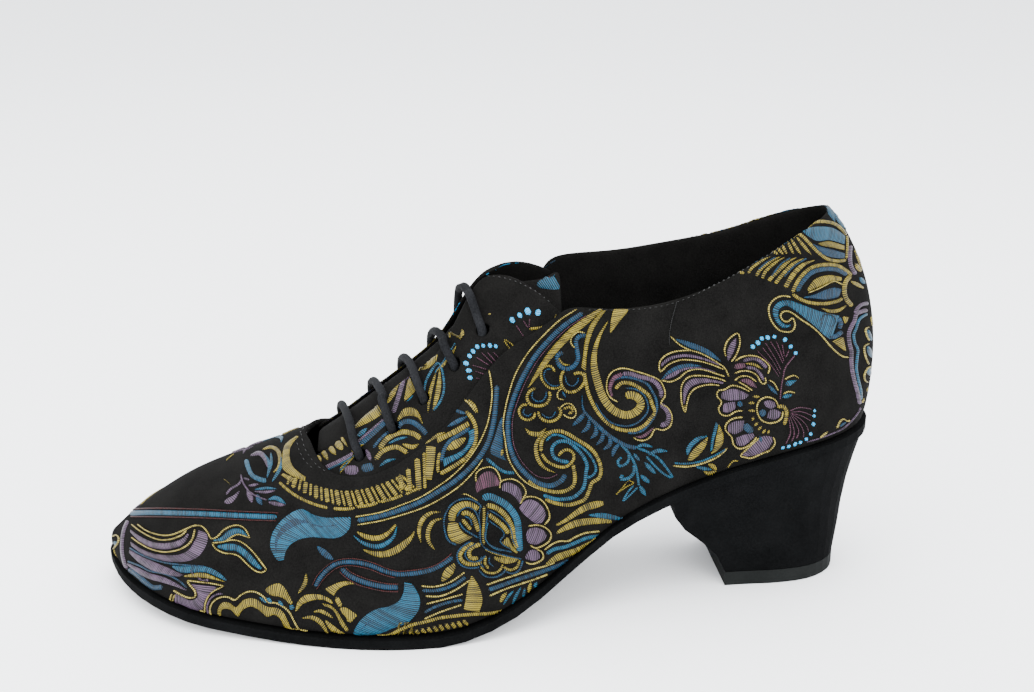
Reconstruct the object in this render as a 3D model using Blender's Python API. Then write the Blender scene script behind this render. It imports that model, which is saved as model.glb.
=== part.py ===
"""Tango practice shoe for the left foot, a lace-up of stitched fabric on a block heel.

The shoe is built on one last surface. Ribs run from the sole's edge up to a top line, which
is the ridge of the vamp and instep in front and the collar behind. Each layer of the upper
is a sheet of that surface between its own style lines, so the pieces follow one another.

Working axes: x from the back of the heel to the toe, y to the wearer's left, which is the
outer side of this shoe, and z up from the floor. Sizes are in metres.
"""

import math

import bmesh
import bpy
import numpy as np
from mathutils import Matrix, Vector

# Driving sizes. The length runs from the heel's datum to the toe; the seat starts just ahead
# of the datum, so the shoe itself is 238 mm long.
LENGTH = 0.240
BALL_WIDTH = 0.080
INSTEP_HEIGHT = 0.060
BACK_HEIGHT = 0.067
HEEL_HEIGHT = 0.0475
TOE_SPRING = 0.007
SOLE_THICK = 0.003
SOLE_LIP = 0.0010
TIP_THICK = 0.0045
WALL = 0.0018
FACING_WALL = 0.0014
TONGUE_WALL = 0.0016
INSOLE_THICK = 0.0020
GAP = 0.0003
UPPER_SEAT_GAP = 0.0007
HEEL_LENGTH = 0.0675
TREAD_START = 0.138
TREAD_END = 0.168
FACING_TUCK = 0.005
LACE_DIAMETER = 0.0026
HOLE_DIAMETER = 0.0040
HEEL_INSET = 0.0008
SPRING_CURVE = 1.7

# One row for each station of the last, from the toe back to the middle of the heel.
# along, outer, inner: sole edge, as shares of the length and of the ball width
# out, rise: foot handle of the rib, shares of the ball width and of the rib's height
# top, top_outer, top_inner: end of the rib, shares of the length and the ball width
# instep, back_outer, back_inner: its height over the sole, shares of the named heights
# ahead, aside, down: top handle, shares of the length, ball width and rib's height
STATION_COLUMNS = ("along", "outer", "inner", "out", "rise", "top", "top_outer", "top_inner",
                   "instep", "back_outer", "back_inner", "ahead", "aside", "down")
STATIONS = (
    (1.000, -0.130, -0.130, 0.008, 0.50, 0.985, -0.130, -0.130, 0.100, 0.0, 0.0, 0.006, 0.000, 0.20),
    (0.993, -0.050, -0.200, 0.008, 0.50, 0.981, -0.130, -0.130, 0.115, 0.0, 0.0, 0.005, 0.030, 0.16),
    (0.972, 0.083, -0.272, 0.010, 0.50, 0.964, -0.125, -0.125, 0.185, 0.0, 0.0, 0.003, 0.105, 0.08),
    (0.935, 0.222, -0.345, 0.012, 0.50, 0.929, -0.112, -0.112, 0.310, 0.0, 0.0, 0.001, 0.185, 0.02),
    (0.880, 0.345, -0.402, 0.018, 0.52, 0.877, -0.094, -0.094, 0.460, 0.0, 0.0, 0.000, 0.255, 0.00),
    (0.810, 0.422, -0.442, 0.026, 0.54, 0.810, -0.075, -0.075, 0.595, 0.0, 0.0, 0.000, 0.300, 0.00),
    (0.730, 0.495, -0.456, 0.032, 0.58, 0.730, -0.056, -0.056, 0.755, 0.0, 0.0, 0.000, 0.320, 0.03),
    (0.650, 0.546, -0.432, 0.036, 0.70, 0.650, -0.040, -0.040, 1.010, 0.0, 0.0, 0.000, 0.310, 0.12),
    (0.570, 0.551, -0.368, 0.030, 0.76, 0.573, -0.030, -0.030, 1.270, 0.0, 0.0, 0.000, 0.270, 0.13),
    (0.490, 0.500, -0.298, 0.020, 0.68, 0.504, -0.022, -0.022, 1.590, 0.0, 0.0, 0.000, 0.195, 0.16),
    (0.410, 0.405, -0.258, 0.028, 0.40, 0.410, 0.275, -0.231, 0.00, 1.132, 1.178, 0.000, 0.040, 0.33),
    (0.333, 0.340, -0.263, 0.050, 0.36, 0.333, 0.318, -0.262, 0.00, 0.958, 1.013, 0.000, 0.016, 0.33),
    (0.250, 0.325, -0.298, 0.040, 0.36, 0.254, 0.312, -0.269, 0.00, 0.903, 0.927, 0.000, 0.018, 0.33),
    (0.167, 0.328, -0.322, 0.030, 0.36, 0.188, 0.279, -0.250, 0.00, 0.936, 0.895, -0.006, 0.022, 0.32),
    (0.093, 0.295, -0.292, 0.030, 0.38, 0.138, 0.212, -0.225, 0.00, 0.975, 0.920, -0.018, 0.028, 0.30),
    (0.041, 0.205, -0.203, 0.044, 0.42, 0.104, 0.125, -0.150, 0.00, 0.990, 0.955, -0.036, 0.026, 0.28),
    (0.016, 0.090, -0.089, 0.060, 0.42, 0.087, 0.056, -0.062, 0.00, 0.998, 0.985, -0.052, 0.010, 0.25),
    (0.011, 0.000, 0.000, 0.064, 0.42, 0.083, 0.000, 0.000, 0.00, 1.000, 1.000, -0.056, 0.000, 0.24),
)
COLLAR_CORNER = 10.0
HEEL_BACK = len(STATIONS) - 1
INNER_FULLNESS = 0.78

# Sole line, underside: along is a share of the length, rise of the heel height
SOLE_LINE = ((0.000, 1.000), (0.040, 0.985), (0.100, 0.950), (0.150, 0.905), (0.200, 0.845),
             (0.245, 0.770), (0.281, 0.700), (0.315, 0.625), (0.360, 0.510), (0.405, 0.360),
             (0.450, 0.210), (0.495, 0.095), (0.540, 0.025))

# Throat line: station number and share of the rib's girth, from the front to the collar
THROAT_LINE = ((5.96, 1.000), (6.05, 0.910), (6.17, 0.770), (6.40, 0.645), (6.85, 0.575),
               (7.40, 0.570), (7.90, 0.603), (8.40, 0.632), (8.85, 0.668), (9.20, 0.735),
               (9.50, 0.820), (9.77, 0.920), (10.0, 1.000))

# Free edge of a facing in the same two measures, from under the vamp to its wing
FACING_EDGE = ((6.05, 0.800), (6.45, 0.815), (6.85, 0.865), (7.30, 0.900), (7.80, 0.905),
               (8.30, 0.915), (8.70, 0.940), (9.06, 0.958))
FACING_FRONT = 2.0
WING_LIFT = 0.035
WING_ROUND = 0.06

# Outer lace holes in the same two measures, from the top pair to the bottom pair. The inner
# holes lie further forward by the slant, a part of a station.
LACE_HOLES = ((8.86, 0.790), (8.35, 0.780), (7.83, 0.760), (7.32, 0.720), (6.80, 0.680))
LACE_SLANT = 0.33

# Tongue, from under the vamp to its free end: a section of the last, set under the facings
# number, spread: station number, and half width as a share of the rib's girth
# lean, lift: how far the section falls back and up, shares of the length and instep height
# shift: to the outer side, share of the ball width
TONGUE = (
    (6.05, 0.17, 0.000, 0.00, 0.00),
    (6.60, 0.24, 0.000, 0.00, 0.00),
    (7.30, 0.26, 0.000, 0.00, 0.00),
    (8.00, 0.25, 0.002, 0.00, 0.00),
    (8.55, 0.23, 0.010, -0.02, 0.00),
    (8.85, 0.21, 0.032, -0.05, 0.01),
    (9.00, 0.20, 0.062, -0.05, 0.03),
    (9.00, 0.18, 0.086, 0.00, 0.05),
)
TONGUE_CROWN = 0.35

# Heel block from the seat down to the tip
# level: share of the block's height
# back, breast: its two ends, shares of the heel length
# half: half width, share of the seat's own
HEEL_LEVELS = (
    (1.00, 0.000, 1.000, 1.000),
    (0.80, 0.034, 0.985, 0.930),
    (0.62, 0.062, 0.935, 0.860),
    (0.42, 0.085, 0.845, 0.790),
    (0.22, 0.100, 0.765, 0.735),
    (0.00, 0.118, 0.722, 0.690),
)

# End of a lace bar, from the middle of its hole
# run, rise: up the facing and over it, both in lace diameters
LACE_END = ((0.00, -0.20), (0.18, 0.14), (0.46, 0.54), (0.95, 0.66))

# Middle line of the inside, which tells outward from inward: its ends as shares of the
# length and its height over the sole as a share of the instep height
CORE_ENDS = (0.15, 0.85)
CORE_RISE = 0.35

# Fineness of the meshes
RIB_SAMPLES = 48
STATION_STEP = 0.03
GIRTH_STEP = 0.02
VAMP_COLUMNS = 17
THROAT_COLUMNS = 23
COLLAR_COLUMNS = 16
FIXED_ROWS = (0.0, 0.1, 0.2, 0.3, 0.4, 0.5)
FREE_ROWS = 5
FACING_GRID = (23, 7)
TONGUE_GRID = (16, 11)
SOLE_COLUMNS = 44
SEAT_COLUMNS = 15
SOLE_ROWS = 5
LACE_POINTS = 16
LACE_RESOLUTION = 2
PUNCH_SEGMENTS = 12
NUMBER_SAMPLES = 401
MERGE_DISTANCE = 0.00002
SMOOTH_ANGLE = math.radians(40)


def rows_curve(rows, t):
    """Point at t on the smooth curve through the rows, where row k lies at t = k."""
    rows = np.asarray(rows, float)
    last = len(rows) - 1
    k = min(max(int(math.floor(t)), 0), last - 1)
    f = min(max(t - k, 0.0), 1.0)
    p1, p2 = rows[k], rows[k + 1]
    p0 = rows[k - 1] if k > 0 else 2 * p1 - p2
    p3 = rows[k + 2] if k + 2 <= last else 2 * p2 - p1
    return 0.5 * (2 * p1 + (p2 - p0) * f + (2 * p0 - 5 * p1 + 4 * p2 - p3) * f * f
                  + (3 * p1 - p0 - 3 * p2 + p3) * f ** 3)


def closed_stations():
    """The stations once round the shoe: outer side to the heel, inner side back to the toe."""
    table = np.array(STATIONS)
    column = {name: k for k, name in enumerate(STATION_COLUMNS)}
    shared = [column[n] for n in ("along", "out", "rise", "top", "instep", "ahead", "down")]

    def one_side(across, top_across, back, full):
        own = np.column_stack([table[:, column[across]], table[:, column[top_across]],
                               table[:, column[back]], table[:, column["aside"]] * full])
        return np.column_stack([table[:, shared], own])

    outer = one_side("outer", "top_outer", "back_outer", 1.0)
    inner = one_side("inner", "top_inner", "back_inner", -INNER_FULLNESS)
    return np.vstack([outer, inner[-2:0:-1]])


LOOP = closed_stations()


def station(turn):
    """Named values at a place round the shoe: 0 is the toe, HEEL_BACK the middle of the heel."""
    count = len(LOOP)
    k = int(math.floor(turn))
    f = turn - k
    p0, p1, p2, p3 = (LOOP[(k + step) % count] for step in (-1, 0, 1, 2))
    value = 0.5 * (2 * p1 + (p2 - p0) * f + (2 * p0 - 5 * p1 + 4 * p2 - p3) * f * f
                   + (3 * p1 - p0 - 3 * p2 + p3) * f ** 3)
    names = ("along", "out", "rise", "top", "instep", "ahead", "down",
             "across", "top_across", "back", "aside")
    return dict(zip(names, value))


def turn_of(number, side):
    """Place round the shoe of a station number on the outer (1) or inner (-1) side."""
    return number if side > 0 else len(LOOP) - number


def sole_under(x):
    """Height of the sole's underside at x: seat, shank, flat tread and toe spring."""
    if x >= TREAD_END:
        return TOE_SPRING * ((x - TREAD_END) / (LENGTH - TREAD_END)) ** SPRING_CURVE
    if x >= TREAD_START:
        return 0.0
    line = [(share * LENGTH, rise * HEEL_HEIGHT) for share, rise in SOLE_LINE]
    line.append((TREAD_START, 0.0))
    xs = [p[0] for p in line]
    k = max(0, min(len(line) - 2, int(np.searchsorted(xs, x, side="right")) - 1))
    f = (x - xs[k]) / (xs[k + 1] - xs[k])
    slopes = [(line[min(j + 1, len(line) - 1)][1] - line[max(j - 1, 0)][1])
              / (xs[min(j + 1, len(line) - 1)] - xs[max(j - 1, 0)]) for j in (k, k + 1)]
    if k == len(line) - 2:
        slopes[1] = 0.0
    run = xs[k + 1] - xs[k]
    a, b = line[k][1], line[k + 1][1]
    return ((2 * f ** 3 - 3 * f * f + 1) * a + (f ** 3 - 2 * f * f + f) * run * slopes[0]
            + (3 * f * f - 2 * f ** 3) * b + (f ** 3 - f * f) * run * slopes[1])


def outline(turn, inset=0.0):
    """Point of the sole's edge in plan and its outward normal, moved in by inset."""
    here = station(turn)
    ahead, behind = station(turn + STATION_STEP), station(turn - STATION_STEP)
    run = np.array([(ahead["along"] - behind["along"]) * LENGTH,
                    (ahead["across"] - behind["across"]) * BALL_WIDTH])
    normal = np.array([run[1], -run[0]]) / np.linalg.norm(run)
    point = np.array([here["along"] * LENGTH, here["across"] * BALL_WIDTH])
    if (point - np.array([LENGTH * 0.5, 0.0])) @ normal < 0:
        normal = -normal
    return point - normal * inset, normal


def rib(turn):
    """Points of one rib of the last, evenly spaced from the sole's edge to the top line."""
    here = station(turn)
    (fx, fy), normal = outline(turn, SOLE_LIP + WALL)
    foot = np.array([fx, fy, sole_under(fx) + SOLE_THICK + UPPER_SEAT_GAP])
    tx = here["top"] * LENGTH
    height = here["instep"] * INSTEP_HEIGHT + here["back"] * BACK_HEIGHT
    top = np.array([tx, here["top_across"] * BALL_WIDTH, sole_under(tx) + SOLE_THICK + height])
    tall = top[2] - foot[2]
    first = foot + np.array([normal[0] * here["out"] * BALL_WIDTH,
                             normal[1] * here["out"] * BALL_WIDTH, here["rise"] * tall])
    second = top + np.array([here["ahead"] * LENGTH, here["aside"] * BALL_WIDTH,
                             -here["down"] * tall])
    t = np.linspace(0.0, 1.0, RIB_SAMPLES)[:, None]
    line = ((1 - t) ** 3 * foot + 3 * (1 - t) ** 2 * t * first
            + 3 * (1 - t) * t * t * second + t ** 3 * top)
    reach = np.concatenate([[0.0], np.cumsum(np.linalg.norm(np.diff(line, axis=0), axis=1))])
    return line, reach


RIBS = {}


def last_point(turn, girth):
    """Point of the last: a place round the shoe and a share of the rib's girth."""
    key = round(turn % len(LOOP), 6)
    if key not in RIBS:
        RIBS[key] = rib(key)
    line, reach = RIBS[key]
    at = girth * reach[-1]
    return np.array([np.interp(at, reach, line[:, k]) for k in range(3)])


def last_girth(turn):
    """Length of the rib at this place, from the sole's edge to the top line."""
    last_point(turn, 0.0)
    return RIBS[round(turn % len(LOOP), 6)][1][-1]


def last_normal(turn, girth):
    """Outward normal of the last at that place."""
    low, high = max(girth - GIRTH_STEP, 0.0), min(girth + GIRTH_STEP, 1.0)
    up = last_point(turn, high) - last_point(turn, low)
    along = last_point(turn + STATION_STEP, girth) - last_point(turn - STATION_STEP, girth)
    normal = np.cross(along, up)
    return normal / np.linalg.norm(normal)


def material(name, colour, roughness, metallic=0.0):
    """One Principled material."""
    made = bpy.data.materials.new(name)
    made.use_nodes = True
    shader = made.node_tree.nodes["Principled BSDF"]
    shader.inputs["Base Color"].default_value = (*colour, 1.0)
    shader.inputs["Roughness"].default_value = roughness
    shader.inputs["Metallic"].default_value = metallic
    return made


def finish(bm, name, paint):
    """Turns the mesh into a smooth shaded object with its material."""
    mesh = bpy.data.meshes.new(name)
    bm.to_mesh(mesh)
    bm.free()
    mesh.materials.append(paint)
    mesh.shade_smooth()
    mesh.set_sharp_from_angle(angle=SMOOTH_ANGLE)
    made = bpy.data.objects.new(name, mesh)
    bpy.context.scene.collection.objects.link(made)
    return made


def sheet(columns, rows, place):
    """A grid of columns by rows of points, each put at place(column, row) and merged."""
    bm = bmesh.new()
    bmesh.ops.create_grid(bm, x_segments=columns - 1, y_segments=rows - 1, size=0.5)
    for vertex in bm.verts:
        i = round((vertex.co.x + 0.5) * (columns - 1))
        j = round((vertex.co.y + 0.5) * (rows - 1))
        vertex.co = Vector(place(i, j))
    bmesh.ops.remove_doubles(bm, verts=bm.verts[:], dist=MERGE_DISTANCE)
    for face in bm.faces:
        face.select = True
    return bm


def face_out(bm, index_direction):
    """Flips the sheet if its faces look against the given direction, on the whole."""
    total = sum(face.normal.dot(index_direction(face.calc_center_median())) * face.calc_area()
                for face in bm.faces)
    if total < 0:
        bmesh.ops.reverse_faces(bm, faces=bm.faces[:])


def thicken(shape, wall):
    """Gives an open sheet a wall of even thickness on its outer side."""
    solid = shape.modifiers.new("Wall", "SOLIDIFY")
    solid.thickness = wall
    solid.offset = 1.0
    solid.use_even_offset = True
    solid.use_quality_normals = True
    return shape


def away_from_core(point):
    """Direction from the middle line of the shoe's inside to a point."""
    back, front = CORE_ENDS[0] * LENGTH, CORE_ENDS[1] * LENGTH
    core = Vector((min(max(point.x, back), front), 0.0,
                   sole_under(point.x) + CORE_RISE * INSTEP_HEIGHT))
    return (point - core).normalized()


def upper_columns():
    """Station number and upper limit of girth for each rib of the upper, toe to heel."""
    vamp = np.linspace(0.0, THROAT_LINE[0][0], VAMP_COLUMNS + 1)[:-1]
    steps = np.linspace(0.0, len(THROAT_LINE) - 1, THROAT_COLUMNS)
    collar = np.linspace(COLLAR_CORNER, HEEL_BACK, COLLAR_COLUMNS + 1)[1:]
    return ([(number, 1.0) for number in vamp]
            + [tuple(rows_curve(THROAT_LINE, t)) for t in steps]
            + [(number, 1.0) for number in collar])


def girth_row(row, limit):
    """Girth share of a row: fixed below the middle, then spread up to the limit."""
    if row < len(FIXED_ROWS):
        return FIXED_ROWS[row]
    share = (row - len(FIXED_ROWS) + 1) / FREE_ROWS
    return FIXED_ROWS[-1] + (limit - FIXED_ROWS[-1]) * share


def build_upper(paint):
    """Vamp and quarters: one hollow wall, open at the throat, the collar and underneath."""
    half = upper_columns()
    places = [(turn_of(number, 1), limit) for number, limit in half]
    places += [(turn_of(number, -1), limit) for number, limit in reversed(half[:-1])]

    def place(i, j):
        turn, limit = places[i]
        return last_point(turn, girth_row(j, limit))

    bm = sheet(len(places), len(FIXED_ROWS) + FREE_ROWS, place)
    face_out(bm, away_from_core)
    return thicken(finish(bm, "upper", paint), WALL)


def facing_place(share, across, side, inward):
    """Point of a facing: share from its front to its wing, across from tuck to free edge."""
    corner = WING_ROUND * (share * across) ** 8
    share, across = share - corner, across - corner
    number, limit = rows_curve(THROAT_LINE,
                               FACING_FRONT + share * (len(THROAT_LINE) - 1 - FACING_FRONT))
    tuck = FACING_TUCK / last_girth(turn_of(number, side))
    edge = rows_curve(FACING_EDGE, share * (len(FACING_EDGE) - 1))
    low = np.array([number, limit - tuck])
    turn_number, girth = low + (edge - low) * across
    girth += WING_LIFT * math.sin(math.pi * across) * share ** 6
    turn = turn_of(turn_number, side)
    return last_point(turn, girth) - last_normal(turn, girth) * inward


def lace_hole(count, side):
    """Station number and girth of one lace hole."""
    number, girth = LACE_HOLES[count]
    return (number if side > 0 else number - LACE_SLANT), girth


def hole_cutter(name, side):
    """Five round punches through a facing, one for each lace hole."""
    bm = bmesh.new()
    for count in range(len(LACE_HOLES)):
        number, girth = lace_hole(count, side)
        turn = turn_of(number, side)
        way = Vector(last_normal(turn, girth))
        at = Matrix.Translation(Vector(last_point(turn, girth)))
        bmesh.ops.create_cone(bm, cap_ends=True, segments=PUNCH_SEGMENTS,
                              radius1=HOLE_DIAMETER / 2, radius2=HOLE_DIAMETER / 2,
                              depth=HOLE_DIAMETER * 2,
                              matrix=at @ way.to_track_quat("Z", "Y").to_matrix().to_4x4())
    mesh = bpy.data.meshes.new(name)
    bm.to_mesh(mesh)
    bm.free()
    cutter = bpy.data.objects.new(name, mesh)
    bpy.context.scene.collection.objects.link(cutter)
    cutter.hide_render = True
    cutter.display_type = "WIRE"
    return cutter


def build_facing(name, side, paint):
    """Facing that carries the lace holes, tucked under the throat edge."""
    columns, rows = FACING_GRID

    def place(i, j):
        return facing_place(i / (columns - 1), j / (rows - 1), side, GAP + FACING_WALL)

    bm = sheet(columns, rows, place)
    face_out(bm, away_from_core)
    facing = thicken(finish(bm, name, paint), FACING_WALL)
    punch = facing.modifiers.new("Lace holes", "BOOLEAN")
    punch.object = hole_cutter(name + "_punches", side)
    punch.solver = "EXACT"
    return facing


def lace_side(count, side):
    """Middle line of half a lace bar, from inside its hole up to the facing's free edge."""
    number, girth = lace_hole(count, side)
    edge = np.interp(number, [row[0] for row in FACING_EDGE], [row[1] for row in FACING_EDGE])
    share = LACE_DIAMETER / last_girth(turn_of(number, side))
    path = [(girth + run * share, rise) for run, rise in LACE_END]
    top, last_rise = path[-1]
    path += [((top + edge) / 2, last_rise), (edge, last_rise)]
    points = []
    for at, rise in path:
        drift = side * LACE_SLANT / 2 * (at - girth) / (1.0 - girth)
        turn = turn_of(number - drift, side)
        points.append(last_point(turn, at) + last_normal(turn, at) * rise * LACE_DIAMETER)
    return points


def build_lace_bar(count, paint):
    """One straight bar of the lace over the tongue, its ends in its pair of holes."""
    route = lace_side(count, 1) + lace_side(count, -1)[::-1]
    name = f"lace_bar_{count + 1}"
    curve = bpy.data.curves.new(name, "CURVE")
    curve.dimensions = "3D"
    curve.bevel_depth = LACE_DIAMETER / 2
    curve.bevel_resolution = LACE_RESOLUTION
    curve.use_fill_caps = True
    line = curve.splines.new("POLY")
    line.points.add(LACE_POINTS - 1)
    for k, point in enumerate(line.points):
        point.co = (*rows_curve(route, (len(route) - 1) * k / (LACE_POINTS - 1)), 1.0)
    curve.materials.append(paint)
    bar = bpy.data.objects.new(name, curve)
    bpy.context.scene.collection.objects.link(bar)
    return bar


def tongue_place(row, w):
    """Point of the tongue: a row of its table and a share across, -1 to 1, rounded on top."""
    number, spread, lean, lift, shift = rows_curve(TONGUE, row)
    number = min(number, TONGUE[-1][0])
    reach = math.hypot(w, TONGUE_CROWN) - TONGUE_CROWN / 2
    sink = 2 * GAP + FACING_WALL + TONGUE_WALL
    sides = []
    for side in (1, -1):
        turn = turn_of(number, side)
        girth = 1.0 - spread * reach
        sides.append(last_point(turn, girth) - last_normal(turn, girth) * sink)
    own = sides[0] if w > 0 else sides[1]
    blend = max(0.0, 1.0 - abs(w) / TONGUE_CROWN) ** 2
    point = own * (1 - blend) + (sides[0] + sides[1]) / 2 * blend
    return point + np.array([-lean * LENGTH, shift * BALL_WIDTH, lift * INSTEP_HEIGHT])


def build_tongue(paint):
    """Tongue under the facings, arched across and free at its top."""
    columns, rows = TONGUE_GRID

    def place(i, j):
        return tongue_place((len(TONGUE) - 1) * i / (columns - 1), 2.0 * j / (rows - 1) - 1.0)

    bm = sheet(columns, rows, place)
    face_out(bm, away_from_core)
    return thicken(finish(bm, "tongue", paint), TONGUE_WALL)


def slab(numbers, across, height, inset):
    """A sheet across the shoe between its two edges at the given stations."""

    def place(i, j):
        outer, _ = outline(turn_of(numbers[i], 1), inset)
        inner, _ = outline(turn_of(numbers[i], -1), inset)
        x, y = outer + (inner - outer) * j / (across - 1)
        return (x, y, height(x))

    return sheet(len(numbers), across, place)


def extrude_last(bm, place):
    """Extrudes the sheet, or the cap that the last extrusion left, to new points."""
    cap = [face for face in bm.faces if face.select]
    inside = len(cap) < len(bm.faces)
    made = bmesh.ops.extrude_face_region(bm, geom=cap)["geom"]
    for face in cap:
        face.select = False
    for item in made:
        if isinstance(item, bmesh.types.BMVert):
            item.co = Vector(place(item.co))
        if isinstance(item, bmesh.types.BMFace):
            item.select = True
    if inside:
        bmesh.ops.delete(bm, geom=cap, context="FACES")


def close_up(bm):
    """Points every face of the closed body outward."""
    bmesh.ops.recalc_face_normals(bm, faces=bm.faces[:])
    return bm


def number_at(x):
    """Station number whose sole edge lies at x."""
    numbers = np.linspace(0.0, HEEL_BACK, NUMBER_SAMPLES)
    along = [station(number)["along"] * LENGTH for number in numbers]
    return float(np.interp(-x, [-a for a in along], numbers))


def sole_numbers():
    """Station numbers of the sole's rows, with rows at both ends of the flat tread."""
    tread = [number_at(TREAD_END), number_at(TREAD_START)]
    return sorted(list(np.linspace(0.0, HEEL_BACK, SOLE_COLUMNS)) + tread)


def build_outsole(paint):
    """Outsole: full length, with the toe spring, the flat tread, the arch and the seat."""
    bm = slab(sole_numbers(), SOLE_ROWS, lambda x: sole_under(x) + SOLE_THICK, 0.0)
    extrude_last(bm, lambda co: (co.x, co.y, co.z - SOLE_THICK))
    return finish(close_up(bm), "outsole", paint)


def build_insole(paint):
    """Insole: inside the upper, on the outsole."""
    inset = SOLE_LIP + WALL + GAP
    bm = slab(sole_numbers(), SOLE_ROWS, lambda x: sole_under(x) + SOLE_THICK + GAP, inset)
    extrude_last(bm, lambda co: (co.x, co.y, co.z + INSOLE_THICK))
    return finish(close_up(bm), "insole", paint)


def heel_plan(x, y, row):
    """Plan place of a point of the seat, carried down to one level of the heel block."""
    _, back, breast, half = row
    return (back + (breast - back) * x / HEEL_LENGTH) * HEEL_LENGTH, y * half


def seat_plan(x, y, row):
    """The seat's point that heel_plan carries to this place."""
    _, back, breast, half = row
    return (x / HEEL_LENGTH - back) / (breast - back) * HEEL_LENGTH, y / half


def heel_sheet(height):
    """Open sheet with the plan of the heel's seat."""
    numbers = list(np.linspace(number_at(HEEL_LENGTH), HEEL_BACK, SEAT_COLUMNS))
    return slab(numbers, SOLE_ROWS, height, HEEL_INSET)


def build_heel(paint):
    """Covered block heel, tapered to its tip, with a straight breast that kinks forward."""
    bm = heel_sheet(lambda x: sole_under(x) - GAP)
    foot = TIP_THICK + GAP
    for above, row in zip(HEEL_LEVELS, HEEL_LEVELS[1:]):

        def drop(co):
            sx, sy = seat_plan(co.x, co.y, above)
            x, y = heel_plan(sx, sy, row)
            return (x, y, foot + (sole_under(sx) - GAP - foot) * row[0])

        extrude_last(bm, drop)
    return finish(close_up(bm), "heel", paint)


def build_heel_tip(paint):
    """Flat tip under the heel block."""
    bm = heel_sheet(lambda x: TIP_THICK)
    for vertex in bm.verts:
        vertex.co.x, vertex.co.y = heel_plan(vertex.co.x, vertex.co.y, HEEL_LEVELS[-1])
    extrude_last(bm, lambda co: (co.x, co.y, 0.0))
    return finish(close_up(bm), "heel_tip", paint)


def stand_on_origin(pieces):
    """Parents every piece to one empty, with the box's bottom centre on the origin."""
    graph = bpy.context.evaluated_depsgraph_get()
    points = np.array([vertex.co for piece in pieces if piece.type == "MESH"
                       for vertex in piece.evaluated_get(graph).data.vertices])
    low, high = points.min(axis=0), points.max(axis=0)
    shoe = bpy.data.objects.new("shoe", None)
    bpy.context.scene.collection.objects.link(shoe)
    shoe.location = (-(low[0] + high[0]) / 2, -(low[1] + high[1]) / 2, -low[2])
    for piece in bpy.data.objects:
        if piece is not shoe:
            piece.parent = shoe


def main():
    """Builds every piece and stands the shoe on the origin."""
    for old in list(bpy.data.objects):
        bpy.data.objects.remove(old, do_unlink=True)
    fabric = material("upper_fabric", (0.020, 0.020, 0.019), 0.85)
    facing_paint = material("facing_fabric", (0.018, 0.018, 0.017), 0.88)
    tongue_paint = material("tongue_fabric", (0.022, 0.022, 0.021), 0.90)
    suede = material("sole_suede", (0.022, 0.022, 0.020), 0.92)
    lining = material("insole_leather", (0.016, 0.015, 0.015), 0.70)
    rubber = material("heel_tip_rubber", (0.012, 0.012, 0.013), 0.60)
    cord = material("lace_cord", (0.055, 0.058, 0.060), 0.90)
    pieces = [build_upper(fabric), build_facing("facing_outer", 1, facing_paint),
              build_facing("facing_inner", -1, facing_paint), build_tongue(tongue_paint),
              build_outsole(suede), build_insole(lining), build_heel(suede),
              build_heel_tip(rubber)]
    pieces += [build_lace_bar(count, cord) for count in range(len(LACE_HOLES))]
    stand_on_origin(pieces)


main()
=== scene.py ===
# %% [markdown]
# A tango practice shoe is cloth stretched over a last, with stitching in rayon thread all
# over it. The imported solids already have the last's true form. This lesson dresses them:
# the cloth is made smooth, the thread is laid on it, and the laces go through their holes.

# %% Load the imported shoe
import math
import random

import bmesh
import bpy
from mathutils import Matrix, Vector
from mathutils.bvhtree import BVHTree


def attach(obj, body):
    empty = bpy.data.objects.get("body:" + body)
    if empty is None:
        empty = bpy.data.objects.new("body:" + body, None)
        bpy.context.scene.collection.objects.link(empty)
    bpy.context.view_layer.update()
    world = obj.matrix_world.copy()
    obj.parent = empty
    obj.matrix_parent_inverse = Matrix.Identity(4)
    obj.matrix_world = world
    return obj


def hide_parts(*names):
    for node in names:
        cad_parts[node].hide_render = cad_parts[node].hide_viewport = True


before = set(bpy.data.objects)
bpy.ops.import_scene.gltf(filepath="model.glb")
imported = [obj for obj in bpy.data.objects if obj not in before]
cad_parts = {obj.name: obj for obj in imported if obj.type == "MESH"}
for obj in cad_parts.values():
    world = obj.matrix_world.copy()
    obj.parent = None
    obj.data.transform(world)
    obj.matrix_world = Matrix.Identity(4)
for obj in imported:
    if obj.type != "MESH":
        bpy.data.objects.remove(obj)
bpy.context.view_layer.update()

random.seed(11)
MM = 0.001
print("packed nodes:", sorted(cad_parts))

# %% [markdown]
# The camera comes first, because the stitching is charted on the photograph: a mark at a
# pixel is laid on the cloth where the sight line through that pixel meets it. The camera's
# place and turn were fitted to the outline of the sole and the heel.

# %% Camera and sight lines
WIDTH_PX, HEIGHT_PX = 1034, 692
SENSOR = 36.0
LENS = 46.90
CAMERA_PLACE = Vector((0.02626, 0.37725, 0.20970))
YAW, PITCH, ROLL = (math.radians(turn) for turn in (5.34, 19.33, -0.40))
FOCAL_PX = LENS / SENSOR * WIDTH_PX

forward = Vector((-math.sin(YAW) * math.cos(PITCH), -math.cos(YAW) * math.cos(PITCH), -math.sin(PITCH)))
level = Vector((-math.cos(YAW), math.sin(YAW), 0.0))
upright = level.cross(forward)
right = level * math.cos(ROLL) + upright * math.sin(ROLL)
up = upright * math.cos(ROLL) - level * math.sin(ROLL)

camera = bpy.data.objects.new("camera", bpy.data.cameras.new("camera"))
camera.data.lens = LENS
camera.data.sensor_width = SENSOR
camera.data.sensor_fit = "HORIZONTAL"
camera.data.clip_start = 0.01
camera.matrix_world = Matrix((right, up, -forward)).transposed().to_4x4()
camera.location = CAMERA_PLACE
bpy.context.scene.collection.objects.link(camera)
bpy.context.scene.camera = camera


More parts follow.
